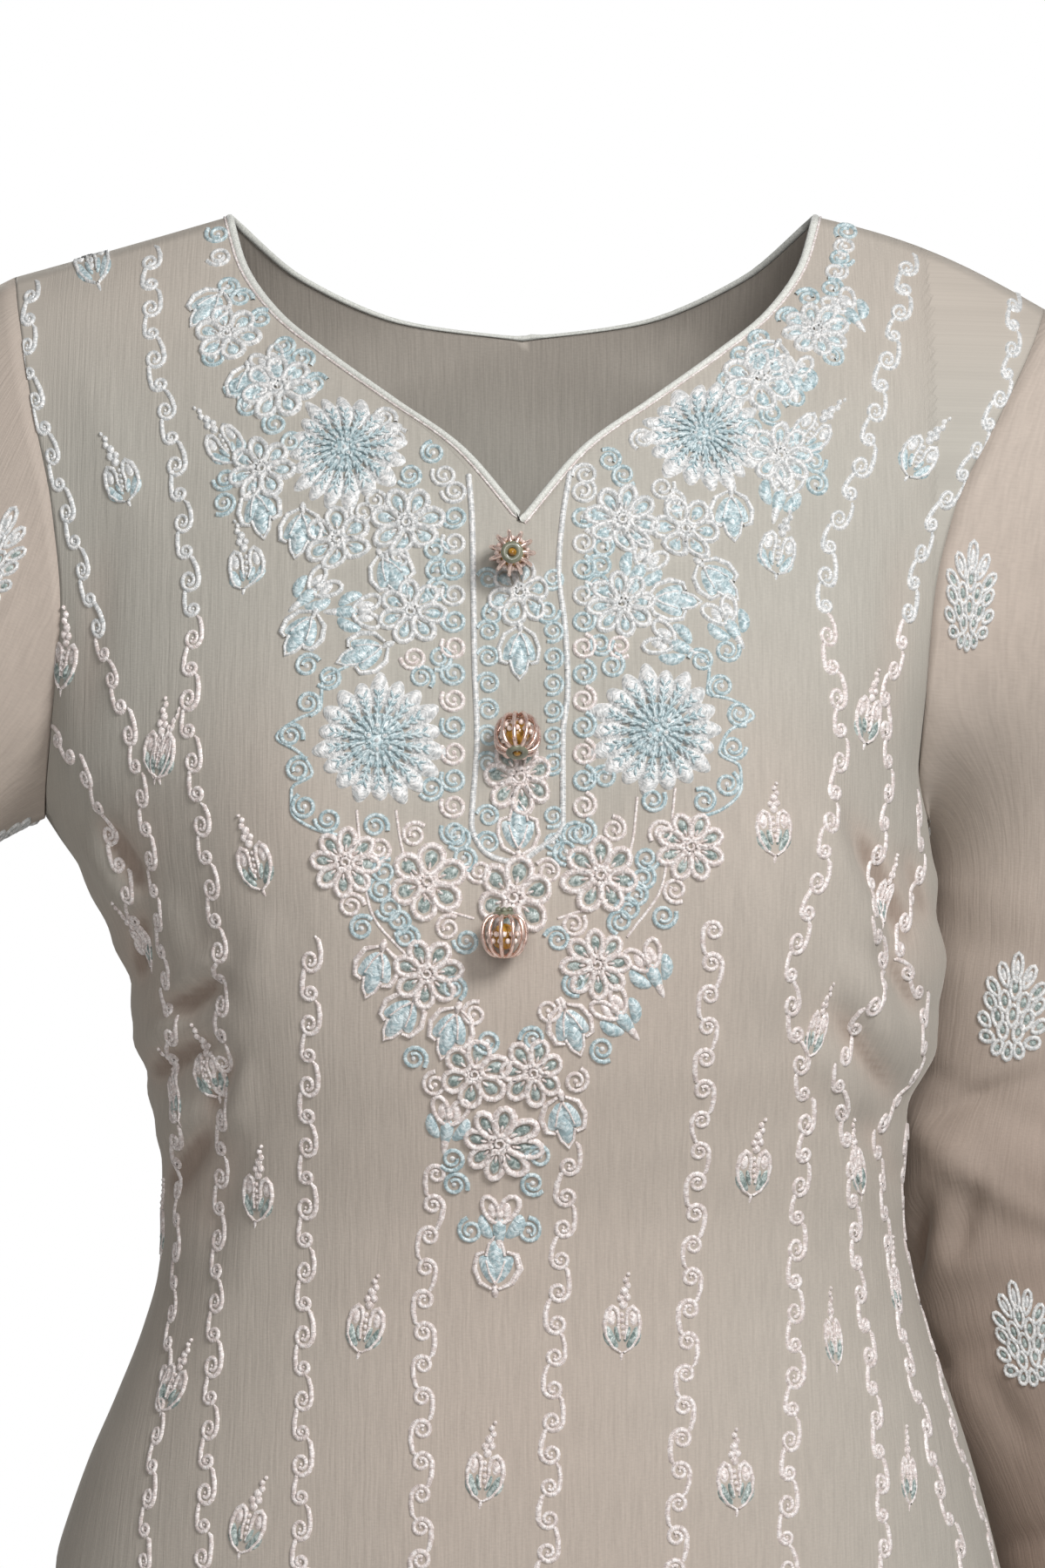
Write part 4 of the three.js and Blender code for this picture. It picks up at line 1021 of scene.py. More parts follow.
# Each piece as it was cut: greatest width and length in metres, and the area that shows.
CUTS = {
    "kameez": {"flat": (0.505, 0.905), "area": 0.385, "held": "draped"},
    "sleeve": {"flat": (0.345, 0.585), "area": 0.160, "held": "draped"},
    "leg": {"flat": (0.62, 0.50), "area": 0.268, "held": "hung"},
    "waistband": {"flat": (0.78, 0.036), "area": 0.028, "held": "gathered"},
    "flare": {"flat": (1.60, 0.47), "area": 0.58, "held": "gathered"},
}


# ---- embroidery: satin stitch, rings and knots laid on the cloth ----

# Motifs on the front by x and z in mm: radius, turn in degrees, aqua or not, and lean.
DAISIES = table("x z radius", [
    [-69.5, -98.5, 23], [71, -93, 23], [-56, -213.5, 25], [52, -209.5, 25],
])
FLOWERS = table("x z radius", [
    [-117.5, -51, 9], [-96.5, -73.5, 11], [117, -49.5, 9], [93.5, -70.5, 11], [-102.5, -106.5, 10],
    [101, -101, 10], [-72, -135, 10], [-45, -128.5, 11], [39, -127.5, 11], [63.5, -131, 10],
    [-43, -163.5, 10], [38.5, -160.5, 10], [-1, -156, 9], [-1, -227.5, 11], [-68, -260, 10],
    [-36.5, -267.5, 11], [30, -265, 11], [64.5, -254, 10], [-3.5, -273.5, 12], [-36.5, -302.5, 10],
    [28.5, -299, 10], [-18.5, -341, 9], [4, -340.5, 9], [-9, -368, 11],
])
LEAVES = table("x z turn", [
    [-125.5, -39, 60], [129.5, -40, -60], [-103, -122.5, 0], [101.5, -115, 0], [-86.5, -131, 20],
    [81.5, -124, -20], [-80.5, -155, 35], [-85, -171, 20], [-64, -163.5, 80], [-60.5, -179.5, 60],
    [75, -150.5, -35], [79, -166.5, -20], [57.5, -159, -80], [57, -175.5, -60], [-1.5, -248.5, 180],
    [-56, -300.5, 25], [48.5, -299.5, -25], [-46, -318.5, 40], [36.5, -317.5, -40], [-27.5, -324, 20],
    [18.5, -322.5, -20], [-28.5, -359, 10], [16, -358, -10], [-9, -397.5, 0], [-10.5, -416, 180],
    [-51, -148, -40], [47, -145, 40], [-1, -178, 0], [-99, -64.5, 10], [97, -61, -10], [-109, -72, 35],
    [108, -68, -35],
])
RINGS = table("x z aqua", [
    [-123.5, -7.5, 1], [-122.5, -17.5, 0], [-118.5, -30.5, 1], [-113, -35.5, 1], [-104.5, -44.5, 1],
    [-122.5, -60.5, 1], [-113, -73, 1], [-95, -56, 1], [-87.5, -61.5, 1], [-82, -72, 1], [-108, -81, 1],
    [-97.5, -88.5, 1], [-116.5, -110.5, 1], [-117, -120, 1], [-54.5, -86.5, 0], [-49.5, -95, 0],
    [-35, -100.5, 1], [-30.5, -109.5, 0], [-44, -109.5, 1], [-57.5, -119.5, 0], [131.5, -6.5, 1],
    [130.5, -13, 0], [128.5, -18, 1], [126, -24, 0], [124, -31, 1], [114.5, -35.5, 1], [106.5, -43.5, 1],
    [94.5, -53, 1], [87, -60, 1], [81, -70.5, 1], [123, -60.5, 1], [112.5, -70, 1], [107.5, -78, 1],
    [98, -84.5, 1], [114.5, -103.5, 1], [115, -112.5, 1], [34, -103.5, 1], [24.5, -109.5, 0], [47, -95, 0],
    [39.5, -109.5, 1], [54.5, -114.5, 0], [-42, -181.5, 0], [-32, -181.5, 1], [-39, -189, 1],
    [37.5, -177, 0], [30, -176, 1], [34.5, -184.5, 1], [-35, -231.5, 1], [31.5, -227.5, 1],
    [-56.5, -246, 1], [-41.5, -249.5, 0], [50, -236, 1], [35, -247.5, 0], [-55, -255, 0], [53.5, -248.5, 0],
    [-65.5, -276.5, 0], [-53, -263.5, 1], [-54, -270.5, 1], [-51, -277.5, 1], [-47.5, -282.5, 1],
    [-44.5, -288.5, 1], [58.5, -270.5, 0], [47.5, -258.5, 1], [46, -266, 1], [43.5, -272.5, 1],
    [40.5, -278, 1], [37.5, -282.5, 1], [-61.5, -285, 1], [54, -280.5, 1], [-16.5, -263.5, 0],
    [10, -263.5, 0], [-22.5, -258.5, 1], [16.5, -256, 1], [-28.5, -285, 0], [19.5, -283.5, 0],
    [-21.5, -290, 1], [13.5, -289.5, 1], [-26.5, -308, 1], [20, -306, 1], [-18.5, -318, 0], [10, -316.5, 0],
    [-13.5, -328.5, 1], [4, -327.5, 1], [-41.5, -335, 1], [30.5, -331.5, 1], [-33.5, -345, 0],
    [20.5, -343.5, 0], [-27, -374, 1], [6.5, -373, 1], [-26, -384, 1], [4, -383.5, 1], [-20, -402, 1],
    [2.5, -402, 1], [-74.5, -189, 1], [-82.5, -199, 1], [-34, -139.5, 1], [-33, -147.5, 1],
    [-32.5, -155, 1], [31, -138, 1], [30, -145.5, 1], [29.5, -153, 1], [-11.5, -164.5, 1], [9.5, -163.5, 1],
    [-62, -124, 0], [59, -120.5, 0], [-91, -96, 1], [90, -91, 1], [-83, -184.5, 1], [79, -178.5, 1],
    [-48, -142, 0], [-24.5, -250.5, 1], [20.5, -249, 1], [-89, -211.5, 1], [-86, -224.5, 1],
    [-83.5, -238.5, 1], [-74.5, -243.5, 1], [69, -182.5, 1], [76.5, -192.5, 1], [83.5, -203, 1],
    [81, -216, 1], [78.5, -230, 1], [69.5, -236.5, 1],
])
BUTIS = table("x z lean", [
    [-158.5, -109.5, 1], [-107.5, -145, 1], [157, -100, -1], [99.5, -139, -1], [-141, -217, 1],
    [-103, -260, 1], [96.5, -246.5, -1], [135, -203.5, -1], [-123.5, -342.5, 1], [-103, -389.5, -1],
    [89.5, -378.5, -1], [-60.5, -438.5, -1], [38.5, -438, -1], [-137, -466, -1], [-14.5, -494, -1],
    [82, -498, -1], [-106, -516, -1], [-175, -16.5, 1], [-181, -181.5, 1], [-117.5, -96, 1],
    [114, -91.5, -1],
])
NECK_CORD = [
    [-21, -109.5], [-19.5, -128.5], [-19, -154], [-18.5, -183.5], [-17.5, -212.5], [-19.5, -245.5],
    [-12.5, -257.5], [-2, -260], [5.5, -255.5], [15.5, -245.5], [15.5, -212.5], [17.5, -193], [16.5, -170],
    [14, -147.5], [15.5, -127.5], [18.5, -108.5],
]
STEMS = [
    [[-63.5, -240], [-61.5, -258.5], [-58, -278.5], [-43.5, -296.5]],
    [[58.5, -231.5], [56.5, -250], [53.5, -268.5], [40, -288.5]],
    [[-48.5, -240], [-46, -255], [-33.5, -276.5], [-18.5, -281.5]],
    [[44, -235], [42.5, -250], [33.5, -273.5], [13.5, -281.5]],
]
# Cords that wind between the outer rings beside the lower daisies.
LINKS = [
    [
        [-66, -184], [-77, -191], [-77.5, -201], [-86, -205], [-94.5, -212], [-85, -218.5], [-80.5, -226],
        [-88.5, -232], [-88.5, -240], [-80, -247], [-69, -250],
    ],
    [
        [62, -177.5], [72, -185], [71, -195], [80, -197.5], [89, -204], [79, -210], [75.5, -218],
        [83.5, -223.5], [84, -231], [76, -240], [65, -243.5],
    ],
]
# Columns of curls down the front: the kind of chain, and the points it runs through.
COLUMNS = [
    ("over", [[-32.5, -374], [-38, -431.5], [-39, -527]]),
    ("under", [[18.5, -370.5], [13.5, -431.5], [9.5, -526.5]]),
    ("loops", [[-81, -291.5], [-84.5, -432.5], [-85.5, -528]]),
    ("over", [[73.5, -280], [66.5, -398.5], [58.5, -527]]),
    ("loops", [
        [-150.5, -15], [-148, -51], [-137.5, -99.5], [-131, -145], [-128, -169], [-129.5, -203],
        [-126, -230], [-116.5, -314.5], [-119.5, -418], [-124, -530],
    ]),
    ("loops", [
        [156, -17.5], [152.5, -35.5], [144, -65.5], [134, -103], [119, -143], [118, -162], [123.5, -213],
        [119, -243.5], [112.5, -272], [104.5, -295.5], [103, -309], [106, -327.5], [110, -367],
        [107.5, -389.5], [106, -426.5], [105.5, -456.5], [103.5, -483], [101.5, -525.5],
    ]),
    ("slim", [
        [-198.5, -29], [-198.5, -57], [-189, -93], [-177, -135], [-162, -185.5], [-152.5, -213],
        [-144.5, -264], [-137.5, -350.5], [-137, -403], [-148, -529],
    ]),
    ("slim", [
        [199, -32], [196, -58.5], [180, -98.5], [159, -133.5], [149, -175], [141.5, -201], [143.5, -226.5],
        [140.5, -252], [136, -267.5], [138.5, -291], [141, -305], [136.5, -316.5], [129.5, -325],
        [125.5, -335], [123, -349], [125, -361], [128, -377], [130, -401], [132, -427], [135.5, -452],
        [138, -478.5], [140, -508], [140.5, -531.5],
    ]),
    ("slim", [
        [156.5, -235], [158, -261], [151, -281.5], [147.5, -300], [154.5, -307.5], [158.5, -321.5],
        [159, -334], [156, -344.5], [151, -352.5], [143, -362.5], [140, -372.5], [142, -388.5], [144, -411],
        [148.5, -437], [153, -462.5], [158.5, -481], [163, -504.5], [172, -530.5],
    ]),
    ("slim", [[-186, -210], [-171, -228.5], [-158, -264.5], [-148, -306]]),
    ("slim", [
        [155, -367.5], [152, -380], [153.5, -413], [159, -435], [166, -461.5], [170.5, -483.5],
        [177.5, -505], [184.5, -526],
    ]),
]


def join(parts):
    """Many pieces of points, faces and perhaps cloth coordinates as one."""
    points, faces, *uv = zip(*parts)
    starts = np.cumsum([0] + [len(one) for one in points[:-1]])
    faces = [one + start for one, start in zip(faces, starts)]
    return [np.concatenate(kind) for kind in (points, faces, *uv)]


class Motif:
    """Satin stitch in local millimetres (across, up, out), sorted by thread."""

    def __init__(self):
        self.parts = {name: [] for name in THREADS}

    def ridge(self, thread, path, half, height, lift=-0.15, sides=4):
        """A rounded ridge along a path; half (its half width) and height may vary along it."""
        path = np.asarray(path, float)
        half = np.broadcast_to(half, len(path)).astype(float)[:, None]
        height = np.broadcast_to(height, len(path)).astype(float)[:, None]
        tangent = unit(np.gradient(path, axis=0))
        side = stack(tangent[:, 1], -tangent[:, 0])
        around = np.linspace(0, math.pi, sides + 1)
        offset = half * np.cos(around)
        flat = path[:, None] + side[:, None] * offset[..., None]
        out = lift + height * np.sin(around)
        stitch = stack(distance(path)[:, None] + 0.6 * np.abs(offset), offset)
        points = np.concatenate([flat, out[..., None]], -1).reshape(-1, 3)
        faces = grid_faces(numbered(len(path), sides + 1))[:, ::-1]
        self.parts[thread].append((points, faces, stitch.reshape(-1, 2)))

    def pad(self, thread, start, end, width, height, widest=0.5, bend=0.0, lift=-0.15, steps=7):
        """A domed petal or leaf from start to end."""
        start, end = np.array(start, float), np.array(end, float)
        t = np.linspace(0, 1, steps)[:, None]
        round_off = np.sin(np.pi * t[:, 0] ** (math.log(0.5) / math.log(widest))) ** 0.65
        round_off = np.maximum(round_off, 0.06)
        axis = end - start
        path = start + axis * t + np.array([-axis[1], axis[0]]) * bend * np.sin(np.pi * t)
        self.ridge(thread, path, round_off * width / 2, height * round_off, lift)

    def loop(self, thread, base, angle, length, width, half=0.75, height=1.3, steps=13, lift=-0.15):
        """A closed rope of stitches from its base out along an angle and back."""
        t = np.linspace(0, 2 * math.pi, steps)
        along = length * (0.5 - 0.5 * np.cos(t))
        across = width * 0.5 * np.sin(t) * (0.75 + 0.25 * along / length)
        turn = np.array([[math.cos(angle), math.sin(angle)], [-math.sin(angle), math.cos(angle)]])
        self.ridge(thread, np.array(base) + stack(along, across) @ turn, half, height, lift, 3)

    def curl(self, thread, centre, radius, start, turns=1.5, half=0.8, height=1.4, steps=18, inner=0.3):
        """A spiral rope that winds in from its start angle; negative turns run clockwise."""
        t = np.linspace(0, 1, steps)
        angle = start + turns * 2 * math.pi * t
        reach = radius * mix(1, inner, t**0.85)
        path = np.array(centre) + stack(reach * np.cos(angle), reach * np.sin(angle))
        self.ridge(thread, path, half * mix(1, 0.75, t), height, sides=3)

    def knot(self, thread, centre, radius, height=1.4, lift=-0.15):
        x, y = centre
        self.pad(thread, (x - radius, y), (x + radius, y), 2 * radius, height, lift=lift, steps=5)

    def slimmer(self, share):
        """The same motif drawn in across its width."""
        slim = Motif()
        for thread, parts in self.parts.items():
            slim.parts[thread] = [(points * [share, 1, 1], faces, stitch) for points, faces, stitch in parts]
        return slim

    def joined(self):
        """One set of points, faces and stitch coordinates for each thread."""
        return [(thread, *join(parts)) for thread, parts in self.parts.items() if parts]


def daisy():
    """Eighteen feathered petals round an aqua centre, 24.5 mm in radius."""
    motif = Motif()
    petals = 18
    motif.pad("aqua", (-13, 0), (13, 0), 26, 1.5, steps=9)
    for i in range(petals):
        toward = direction(2 * math.pi * (i + 0.3) / petals)
        beside = np.array([-toward[1], toward[0]])
        reach = 1 + 0.06 * math.sin(i * 2.4)
        motif.pad("silver", toward * 5, toward * 24 * reach, 8.6, 1.9, widest=0.72, steps=9)
        motif.pad("silver", toward * 15, toward * 25.2 * reach, 6.6, 2.2, widest=0.55, steps=8)
        motif.pad("aqua", toward * 3, toward * 20.5 * reach, 1.5, 1.0, widest=0.4, lift=1.3)
        for k, share in enumerate((7.5, 10.5, 13.5, 16.5)):
            for way in (-1, 1):
                end = toward * share + toward * 3.0 + beside * way * (1.3 + 0.25 * k)
                motif.pad("aqua", toward * share, end, 1.3, 0.8, lift=1.5, steps=4)
        motif.knot("aqua" if i % 3 else "silver", toward * (3.4 if i % 2 else 5.6), 1.15, 1.8, lift=1.0)
    for i in range(6):
        angle = 2 * math.pi * i / 6
        motif.curl("aqua", 3.6 * direction(angle), 1.9, angle, 1.0, 0.6, 2.9, 8)
    motif.pad("aqua", (-5.5, 0), (5.5, 0), 11, 1.9)
    motif.knot("silver", (0, 0), 1.3, 3.0)
    return motif


def flower(petals, rope, heart):
    """Rope-edged petals with filled hearts, ten millimetres in radius."""
    motif = Motif()
    for i in range(petals):
        angle = 2 * math.pi * (i + 0.25) / petals
        toward = direction(angle)
        motif.loop(rope, toward * 2.2, angle, 8.2, 45.0 / petals, half=1.05, height=1.9)
        motif.pad(heart, toward * 3.2, toward * 9.4, 25.0 / petals, 1.4, widest=0.6, steps=5)
        motif.pad(rope, toward * 3.0, toward * 6.4, 1.0, 1.9, widest=0.4, steps=4)
    motif.curl(rope, (0, 0), 2.1, 0.5, 1.2, 0.75, 1.9, 10, inner=0.35)
    return motif


def leaf(edge):
    """Three aqua lobes that point down from a pale stem, with pale edges."""
    motif = Motif()
    for side in (-1, 1):
        motif.pad("aqua", (side * 0.6, 5.5), (side * 5.2, -3.5), 5.6, 1.5, bend=side * -0.12)
        rim = np.array([(1.0, 6.5), (4.6, 4.6), (6.4, 0.6), (5.6, -3.6), (3.2, -4.4)]) * [side, 1]
        motif.ridge(edge, rim, [0.5, 0.9, 1.0, 0.9, 0.5], 1.6, sides=3)
        motif.ridge(edge, [(0, 5), (side * 1.6, 2), (side * 2.8, -2)], [0.4, 0.55, 0.4], 1.8, sides=3)
    motif.pad("aqua", (0, 3.5), (0, -8.5), 5.2, 1.7, widest=0.55)
    motif.ridge(edge, [(-2.8, -3.2), (-1.9, -6.6), (0, -9.2), (1.9, -6.6), (2.8, -3.2)], 0.6, 1.3, sides=3)
    motif.pad(edge, (-0.2, 9.5), (0.2, 4.5), 2.4, 1.6, steps=5)
    return motif


def bell(edge):
    """A bud with a pale crown over an aqua cup and a pointed tip below."""
    motif = Motif()
    for side in (-1, 1):
        motif.loop(edge, (side * 0.6, -1), math.pi / 2 - side * 0.45, 8.5, 5.0, 0.85, 1.5)
        motif.pad("aqua", (side * 5.4, 2), (side * 1.4, -6), 4.2, 1.6, bend=side * 0.15)
        motif.pad(edge, (side * 2.2, 5.5), (side * 2.0, -0.5), 3.0, 1.2)
    motif.pad("aqua", (0, 1), (0, -8.5), 4.4, 1.8, widest=0.4)
    motif.pad(edge, (0, -4.5), (0, -11), 2.6, 1.4, widest=0.35)
    motif.knot(edge, (0, 1.5), 1.6, 2.2)
    return motif


def ring(thread, heart):
    """A spiral ring with a knot in it."""
    motif = Motif()
    motif.curl(thread, (0, 0), 4.9, 2.2, 1.45, 1.05, 1.7, 20, inner=0.36)
    motif.knot(heart, (0.2, -0.1), 1.15, 1.4)
    return motif


def buti(edge, cup):
    """The scattered sprig: two rounded petals, darker below, and a lumpy bud that stands on them."""
    motif = Motif()
    for side in (-1, 1):
        outline = [(0.5, -11), (3.6, -9), (6.2, -4.8), (6.9, 0.2), (6.0, 4.6), (4.0, 6.6), (2.2, 5.4),
                   (1.5, 2.4), (1.7, -1.5), (0.9, -6)]
        width = [0.5, 0.75, 0.95, 1.1, 1.25, 1.3, 1.15, 0.95, 0.8, 0.5]
        motif.ridge(edge, np.array(outline) * [side, 1], width, 1.7, sides=3)
        motif.pad(edge, (side * 4.2, 5.8), (side * 4.4, -1.5), 4.0, 1.3)
        motif.pad(cup, (side * 5.8, 0.2), (side * 0.8, -9.8), 5.0, 1.5, bend=side * 0.16)
        motif.pad(cup, (side * 3.0, -0.5), (side * 0.8, -7.6), 2.4, 1.8)
    for y in (3.6, 1.2, -1.2, -3.6):
        motif.knot(edge, (0.4 * math.sin(y * 3), y), 1.15, 1.8)
    for x, y, radius in ((0.2, 7.4, 2.1), (-1.0, 9.8, 1.7), (1.6, 10.2, 1.9), (0.4, 12.6, 2.1),
                         (1.7, 14.8, 1.6), (0.9, 17.0, 1.5), (1.9, 19.2, 1.0)):
        motif.knot(edge, (x, y), radius, 1.9)
    motif.pad(edge, (0, -10), (-0.6, -15), 1.8, 1.1, widest=0.35)
    return motif


# Where each loop of the sleeve motif starts, its angle, length and width.
SPRIG_LOOPS = [
    (0, 9.5, 90, 12, 5), (-3.8, 7.5, 112, 10, 4.6), (3.8, 7.5, 68, 10, 4.6), (-7, 3, 130, 9, 4.6),
    (7, 3, 50, 9, 4.6), (0, 2.5, 90, 9, 5.4), (-3.4, -3, 100, 8.5, 5.4), (3.4, -3, 80, 8.5, 5.4),
    (-8.2, -3, 125, 8, 5), (8.2, -3, 55, 8, 5), (0, -8.5, 90, 8.5, 5.6), (-5.4, -9.5, 105, 8.5, 5.4),
    (5.4, -9.5, 75, 8.5, 5.4), (-9.6, -9.5, 140, 7, 4.8), (9.6, -9.5, 40, 7, 4.8),
    (-2.8, -14, 100, 7, 5), (2.8, -14, 80, 7, 5), (-7, -14.5, 168, 6.5, 4.8), (7, -14.5, 12, 6.5, 4.8),
    (-3.4, -14.5, 245, 6, 4.8), (3.4, -14.5, 295, 6, 4.8), (0, -15, 270, 6.5, 4.6),
]


def sprig():
    """The sleeve motif: pointed loops above close rows of round ones with teal hearts."""
    motif = Motif()
    for x, y, angle, length, width in SPRIG_LOOPS:
        turn = math.radians(angle)
        base, toward = np.array((x, y)), direction(turn)
        motif.loop("silver", base, turn, length, width, 1.1, 1.7, 11)
        heart = "teal" if y < 5 else "silver"
        motif.pad(heart, base + toward * 1.4, base + toward * length * 0.88, width * 0.6, 1.2, steps=5)
        motif.knot("silver", base, 1.3, 1.8)
    return motif


SLIM_BUTIS = table("x z lean", [
    [140.7, -274.8, 28], [114, -325, 14], [131.3, -380.4, -14], [121, -446, 8], [147.3, -429, 12],
    [151, -500.9, 16], [-140, -218, 10], [-149, -292, -6], [-137, -352, -14], [-144, -408, 4],
])
# Where sprigs lie down the front of each sleeve, and how far each is drawn in across.
SLEEVE_SPRIGS = {
    "left": [(177, -156, 0.68), (200, -320, 0.92), (204, -454, 0.8), (230, -566, 0.9)],
    "right": [(-212, -141, 0.9), (-280, -262, 0.9), (-322, -387, 0.9), (-334, -512, 0.9)],
}


CHAIN_PITCH = 12.4


def chain_link(thread, stretch, radius):
    """A curl whose outer turn comes over the top from a tail that runs down on the left."""
    motif = Motif()
    t = np.linspace(0, 1, 17)
    angle = math.pi - 2 * math.pi * 1.35 * t
    reach = radius * mix(1, 0.32, t**0.9)
    curl = stack(reach * np.cos(angle), reach * np.sin(angle) * stretch)
    tail = np.array([(-1.6, -CHAIN_PITCH + 2.6), (-3.1, -8.2), (-4.0, -4.2)])
    tail[:, 0] *= radius / 4.0
    path = np.concatenate([tail, curl])
    half = np.concatenate([[0.55, 1.15, 1.3], mix(1.25, 0.85, t)])
    motif.ridge(thread, path, half, np.minimum(1.5, 1.9 * half), sides=3)
    motif.knot(thread, (0.2, 0), 0.8, 1.1)
    return motif


# The stretch and radius of the two links that take turns down a column, and how far both are turned.
CHAIN_KINDS = {
    "over": ((1.0, 4.0), (1.0, 4.0), 0.0),
    "under": ((1.0, 4.0), (1.0, 4.0), math.pi),
    "loops": ((1.25, 3.9), (1.0, 3.1), math.pi),
    "slim": ((1.5, 3.0), (1.25, 2.5), math.pi),
}
CHAINS = {
    (name, kind): (chain_link(name, *first), chain_link(name, *second), flip)
    for name in ("pink", "silver")
    for kind, (first, second, flip) in CHAIN_KINDS.items()
}


class Embroidery:
    """Motifs laid on one garment piece, joined into one mesh for each thread."""

    def __init__(self, name):
        self.name = name
        self.parts = {thread: [] for thread in THREADS}

    def lay(self, panel, motif, rows, columns, turns=0.0, scales=1.0, mirror=False):
        rows, columns, turns, scales = (
            np.array(part, float) for part in np.broadcast_arrays(np.atleast_1d(rows), columns, turns, scales)
        )
        for thread, points, faces, stitch in motif.joined():
            shapes = points[None] * scales[:, None, None] * ([-1, 1, 1] if mirror else [1, 1, 1])
            placed = panel.place(rows, columns, shapes, turns)
            faces = faces[:, ::-1] if mirror else faces
            self.parts[thread] += [(one, faces, stitch) for one in placed]

    def lay_along(self, panel, motif, row, column, toward, **options):
        """Lays a motif with its top towards a direction in space."""
        row, column = np.atleast_1d(np.asarray(row, float)), np.atleast_1d(np.asarray(column, float))
        across, up, *_ = panel.axes(row, column)
        turns = np.arctan2(-np.sum(across * toward, -1), np.sum(up * toward, -1))
        self.lay(panel, motif, row, column, turns=turns, **options)

    def line(self, panel, thread, rows, columns, half, height, sides=4):
        """A cord of stitches along grid places."""
        base = panel.sample(panel.points, rows, columns)
        normal = unit(panel.sample(panel.normals, rows, columns))
        side = unit(np.cross(unit(np.gradient(base, axis=0)), normal))
        around = np.linspace(0, math.pi, sides + 1)
        points = base[:, None] + side[:, None] * (half * np.cos(around))[:, None]
        points = points + normal[:, None] * (height * np.sin(around) - 0.15)[:, None]
        length = distance(base)
        stitch = stack(length[:, None], half * np.cos(around))
        faces = grid_faces(numbered(*points.shape[:2]))[:, ::-1]
        self.parts[thread].append((points.reshape(-1, 3), faces, stitch.reshape(-1, 2)))

    def chain(self, panel, kind, rows, columns):
        """A column of curls down a path of grid places, tails to left and right in turn."""
        path = panel.sample(panel.points, rows, columns)
        length = distance(path)
        at = np.arange(CHAIN_PITCH / 2, length[-1] - CHAIN_PITCH / 2, CHAIN_PITCH)
        row, column = np.interp(at, length, rows), np.interp(at, length, columns)
        across, up, *_ = panel.axes(row, column)
        climb = stack(*(np.interp(at - 3, length, c) - np.interp(at + 3, length, c) for c in path.T))
        turns = np.arctan2(-dot(climb, across)[:, 0], dot(climb, up)[:, 0])
        wobble = 0.06 * np.sin(np.arange(len(at)) * 2.3)
        sizes = 1 + 0.05 * np.sin(np.arange(len(at)) * 1.7)
        high = np.interp(at, length, path[:, 2]) > SILVER_ABOVE_Z
        for thread, chosen in (("silver", high), ("pink", ~high)):
            first, second, flip = CHAINS[thread, kind]
            for motif, start, way in ((first, 0, 1), (second, 1, -1)):
                pick = chosen & (np.arange(len(at)) % 2 == start)
                if pick.any():
                    turned = turns[pick] + flip + way * wobble[pick]
                    self.lay(panel, motif, row[pick], column[pick], turned, sizes[pick], way < 0)

    def build(self):
        built = []
        for thread, parts in self.parts.items():
            if parts:
                material, slot = THREADS[thread]
                points, faces, uv = join(parts)
                stitches = add_mesh(f"stitching_{self.name}_{thread}", points, faces, material, uv * MM)
                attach(stitches, "root")
                built.append(stitches)
        return built


def front_half(x):
    return front_halves["left" if x > 0 else "right"]


def lay_on_front(work, motif, x, z, **options):
    """Lays a motif at an x and z of the front: on one half of it beside the neck opening."""
    panel = front if abs(x) < MIDDLE_HALF and z < MIDDLE_TOP_Z else front_half(x)
    work.lay(panel, motif, *panel.find(x, z), **options)


def smooth_line(points, step=3.0):
    """Points every few millimetres on a smooth curve through the given ones."""
    points = np.array(points, float)
    length = distance(points)
    curve = dict(run=length, x=points[:, 0], z=points[:, 1])
    at = np.linspace(0, length[-1], max(4, int(length[-1] / step)))
    return track(curve, "run", "x", at), track(curve, "run", "z", at)


HEM_MARGIN = 14.0


def column_path(panel, points):
    """Grid places down a column's points, then straight down the cloth to the hem."""
    rows, columns = panel.find(*smooth_line(points, 4.0))
    hem_row = float(panel.find(points[-1][0], KAMEEZ_HEM_Z + HEM_MARGIN)[0][0])
    if points[-1][1] > -490:
        return rows, columns
    more = np.arange(rows[-1] - 1, hem_row, -1.0)
    return np.concatenate([rows, more]), np.concatenate([columns, np.full(len(more), columns[-1])])


DAISY, SPRIG = daisy(), sprig()
RING = {"aqua": ring("aqua", "silver"), "pink": ring("pink", "pink"), "silver": ring("silver", "silver")}
# Silver and aqua high up, pink and teal below.
LEAF = {True: leaf("silver"), False: leaf("pink")}
BELL = {True: bell("silver"), False: bell("pink")}
BUTI = {True: buti("silver", "aqua"), False: buti("pink", "teal")}
FLOWER = {
    (petals, high): flower(petals, "silver" if high else "pink", "aqua" if high else "teal")
    for petals in (6, 7, 8)
    for high in (True, False)
}
DAISY_RADIUS = 24.5
FLOWER_RADIUS = 9.3
FLOWER_SIZE = 1.16
LEAF_SIZE = 1.32
RING_SIZE = 1.06
# Where both halves of the front are one panel: how far from its middle, and below what height.
MIDDLE_HALF = 30.0
MIDDLE_TOP_Z = -135.0
# The rows of rings along the opening's cord, and the buttons that the inner row keeps clear of.
RING_ROWS_X = (-26.5, 23.5)
RING_ROW_Z = (-116, -252, -10.2)
BUTTONS_Z = (-156, -228)
BUTTON_CLEAR = 9.0
# Lanes of sprigs on the front, each at the x and z of its lowest one in the table.
FRONT_LANES = (
    (-137, -466), (-105, -516), (-61, -439), (-14, -494), (39, -438), (82, -498), (124, -446), (152, -502),
)
HEM_CLEAR = 35.0
BUTI_LEAN = 0.08
SILVER_ABOVE_Z = -170
LANE_PITCH = 125.0


def ring_at(aqua, z):
    return RING["aqua" if aqua else "silver" if z > SILVER_ABOVE_Z else "pink"]


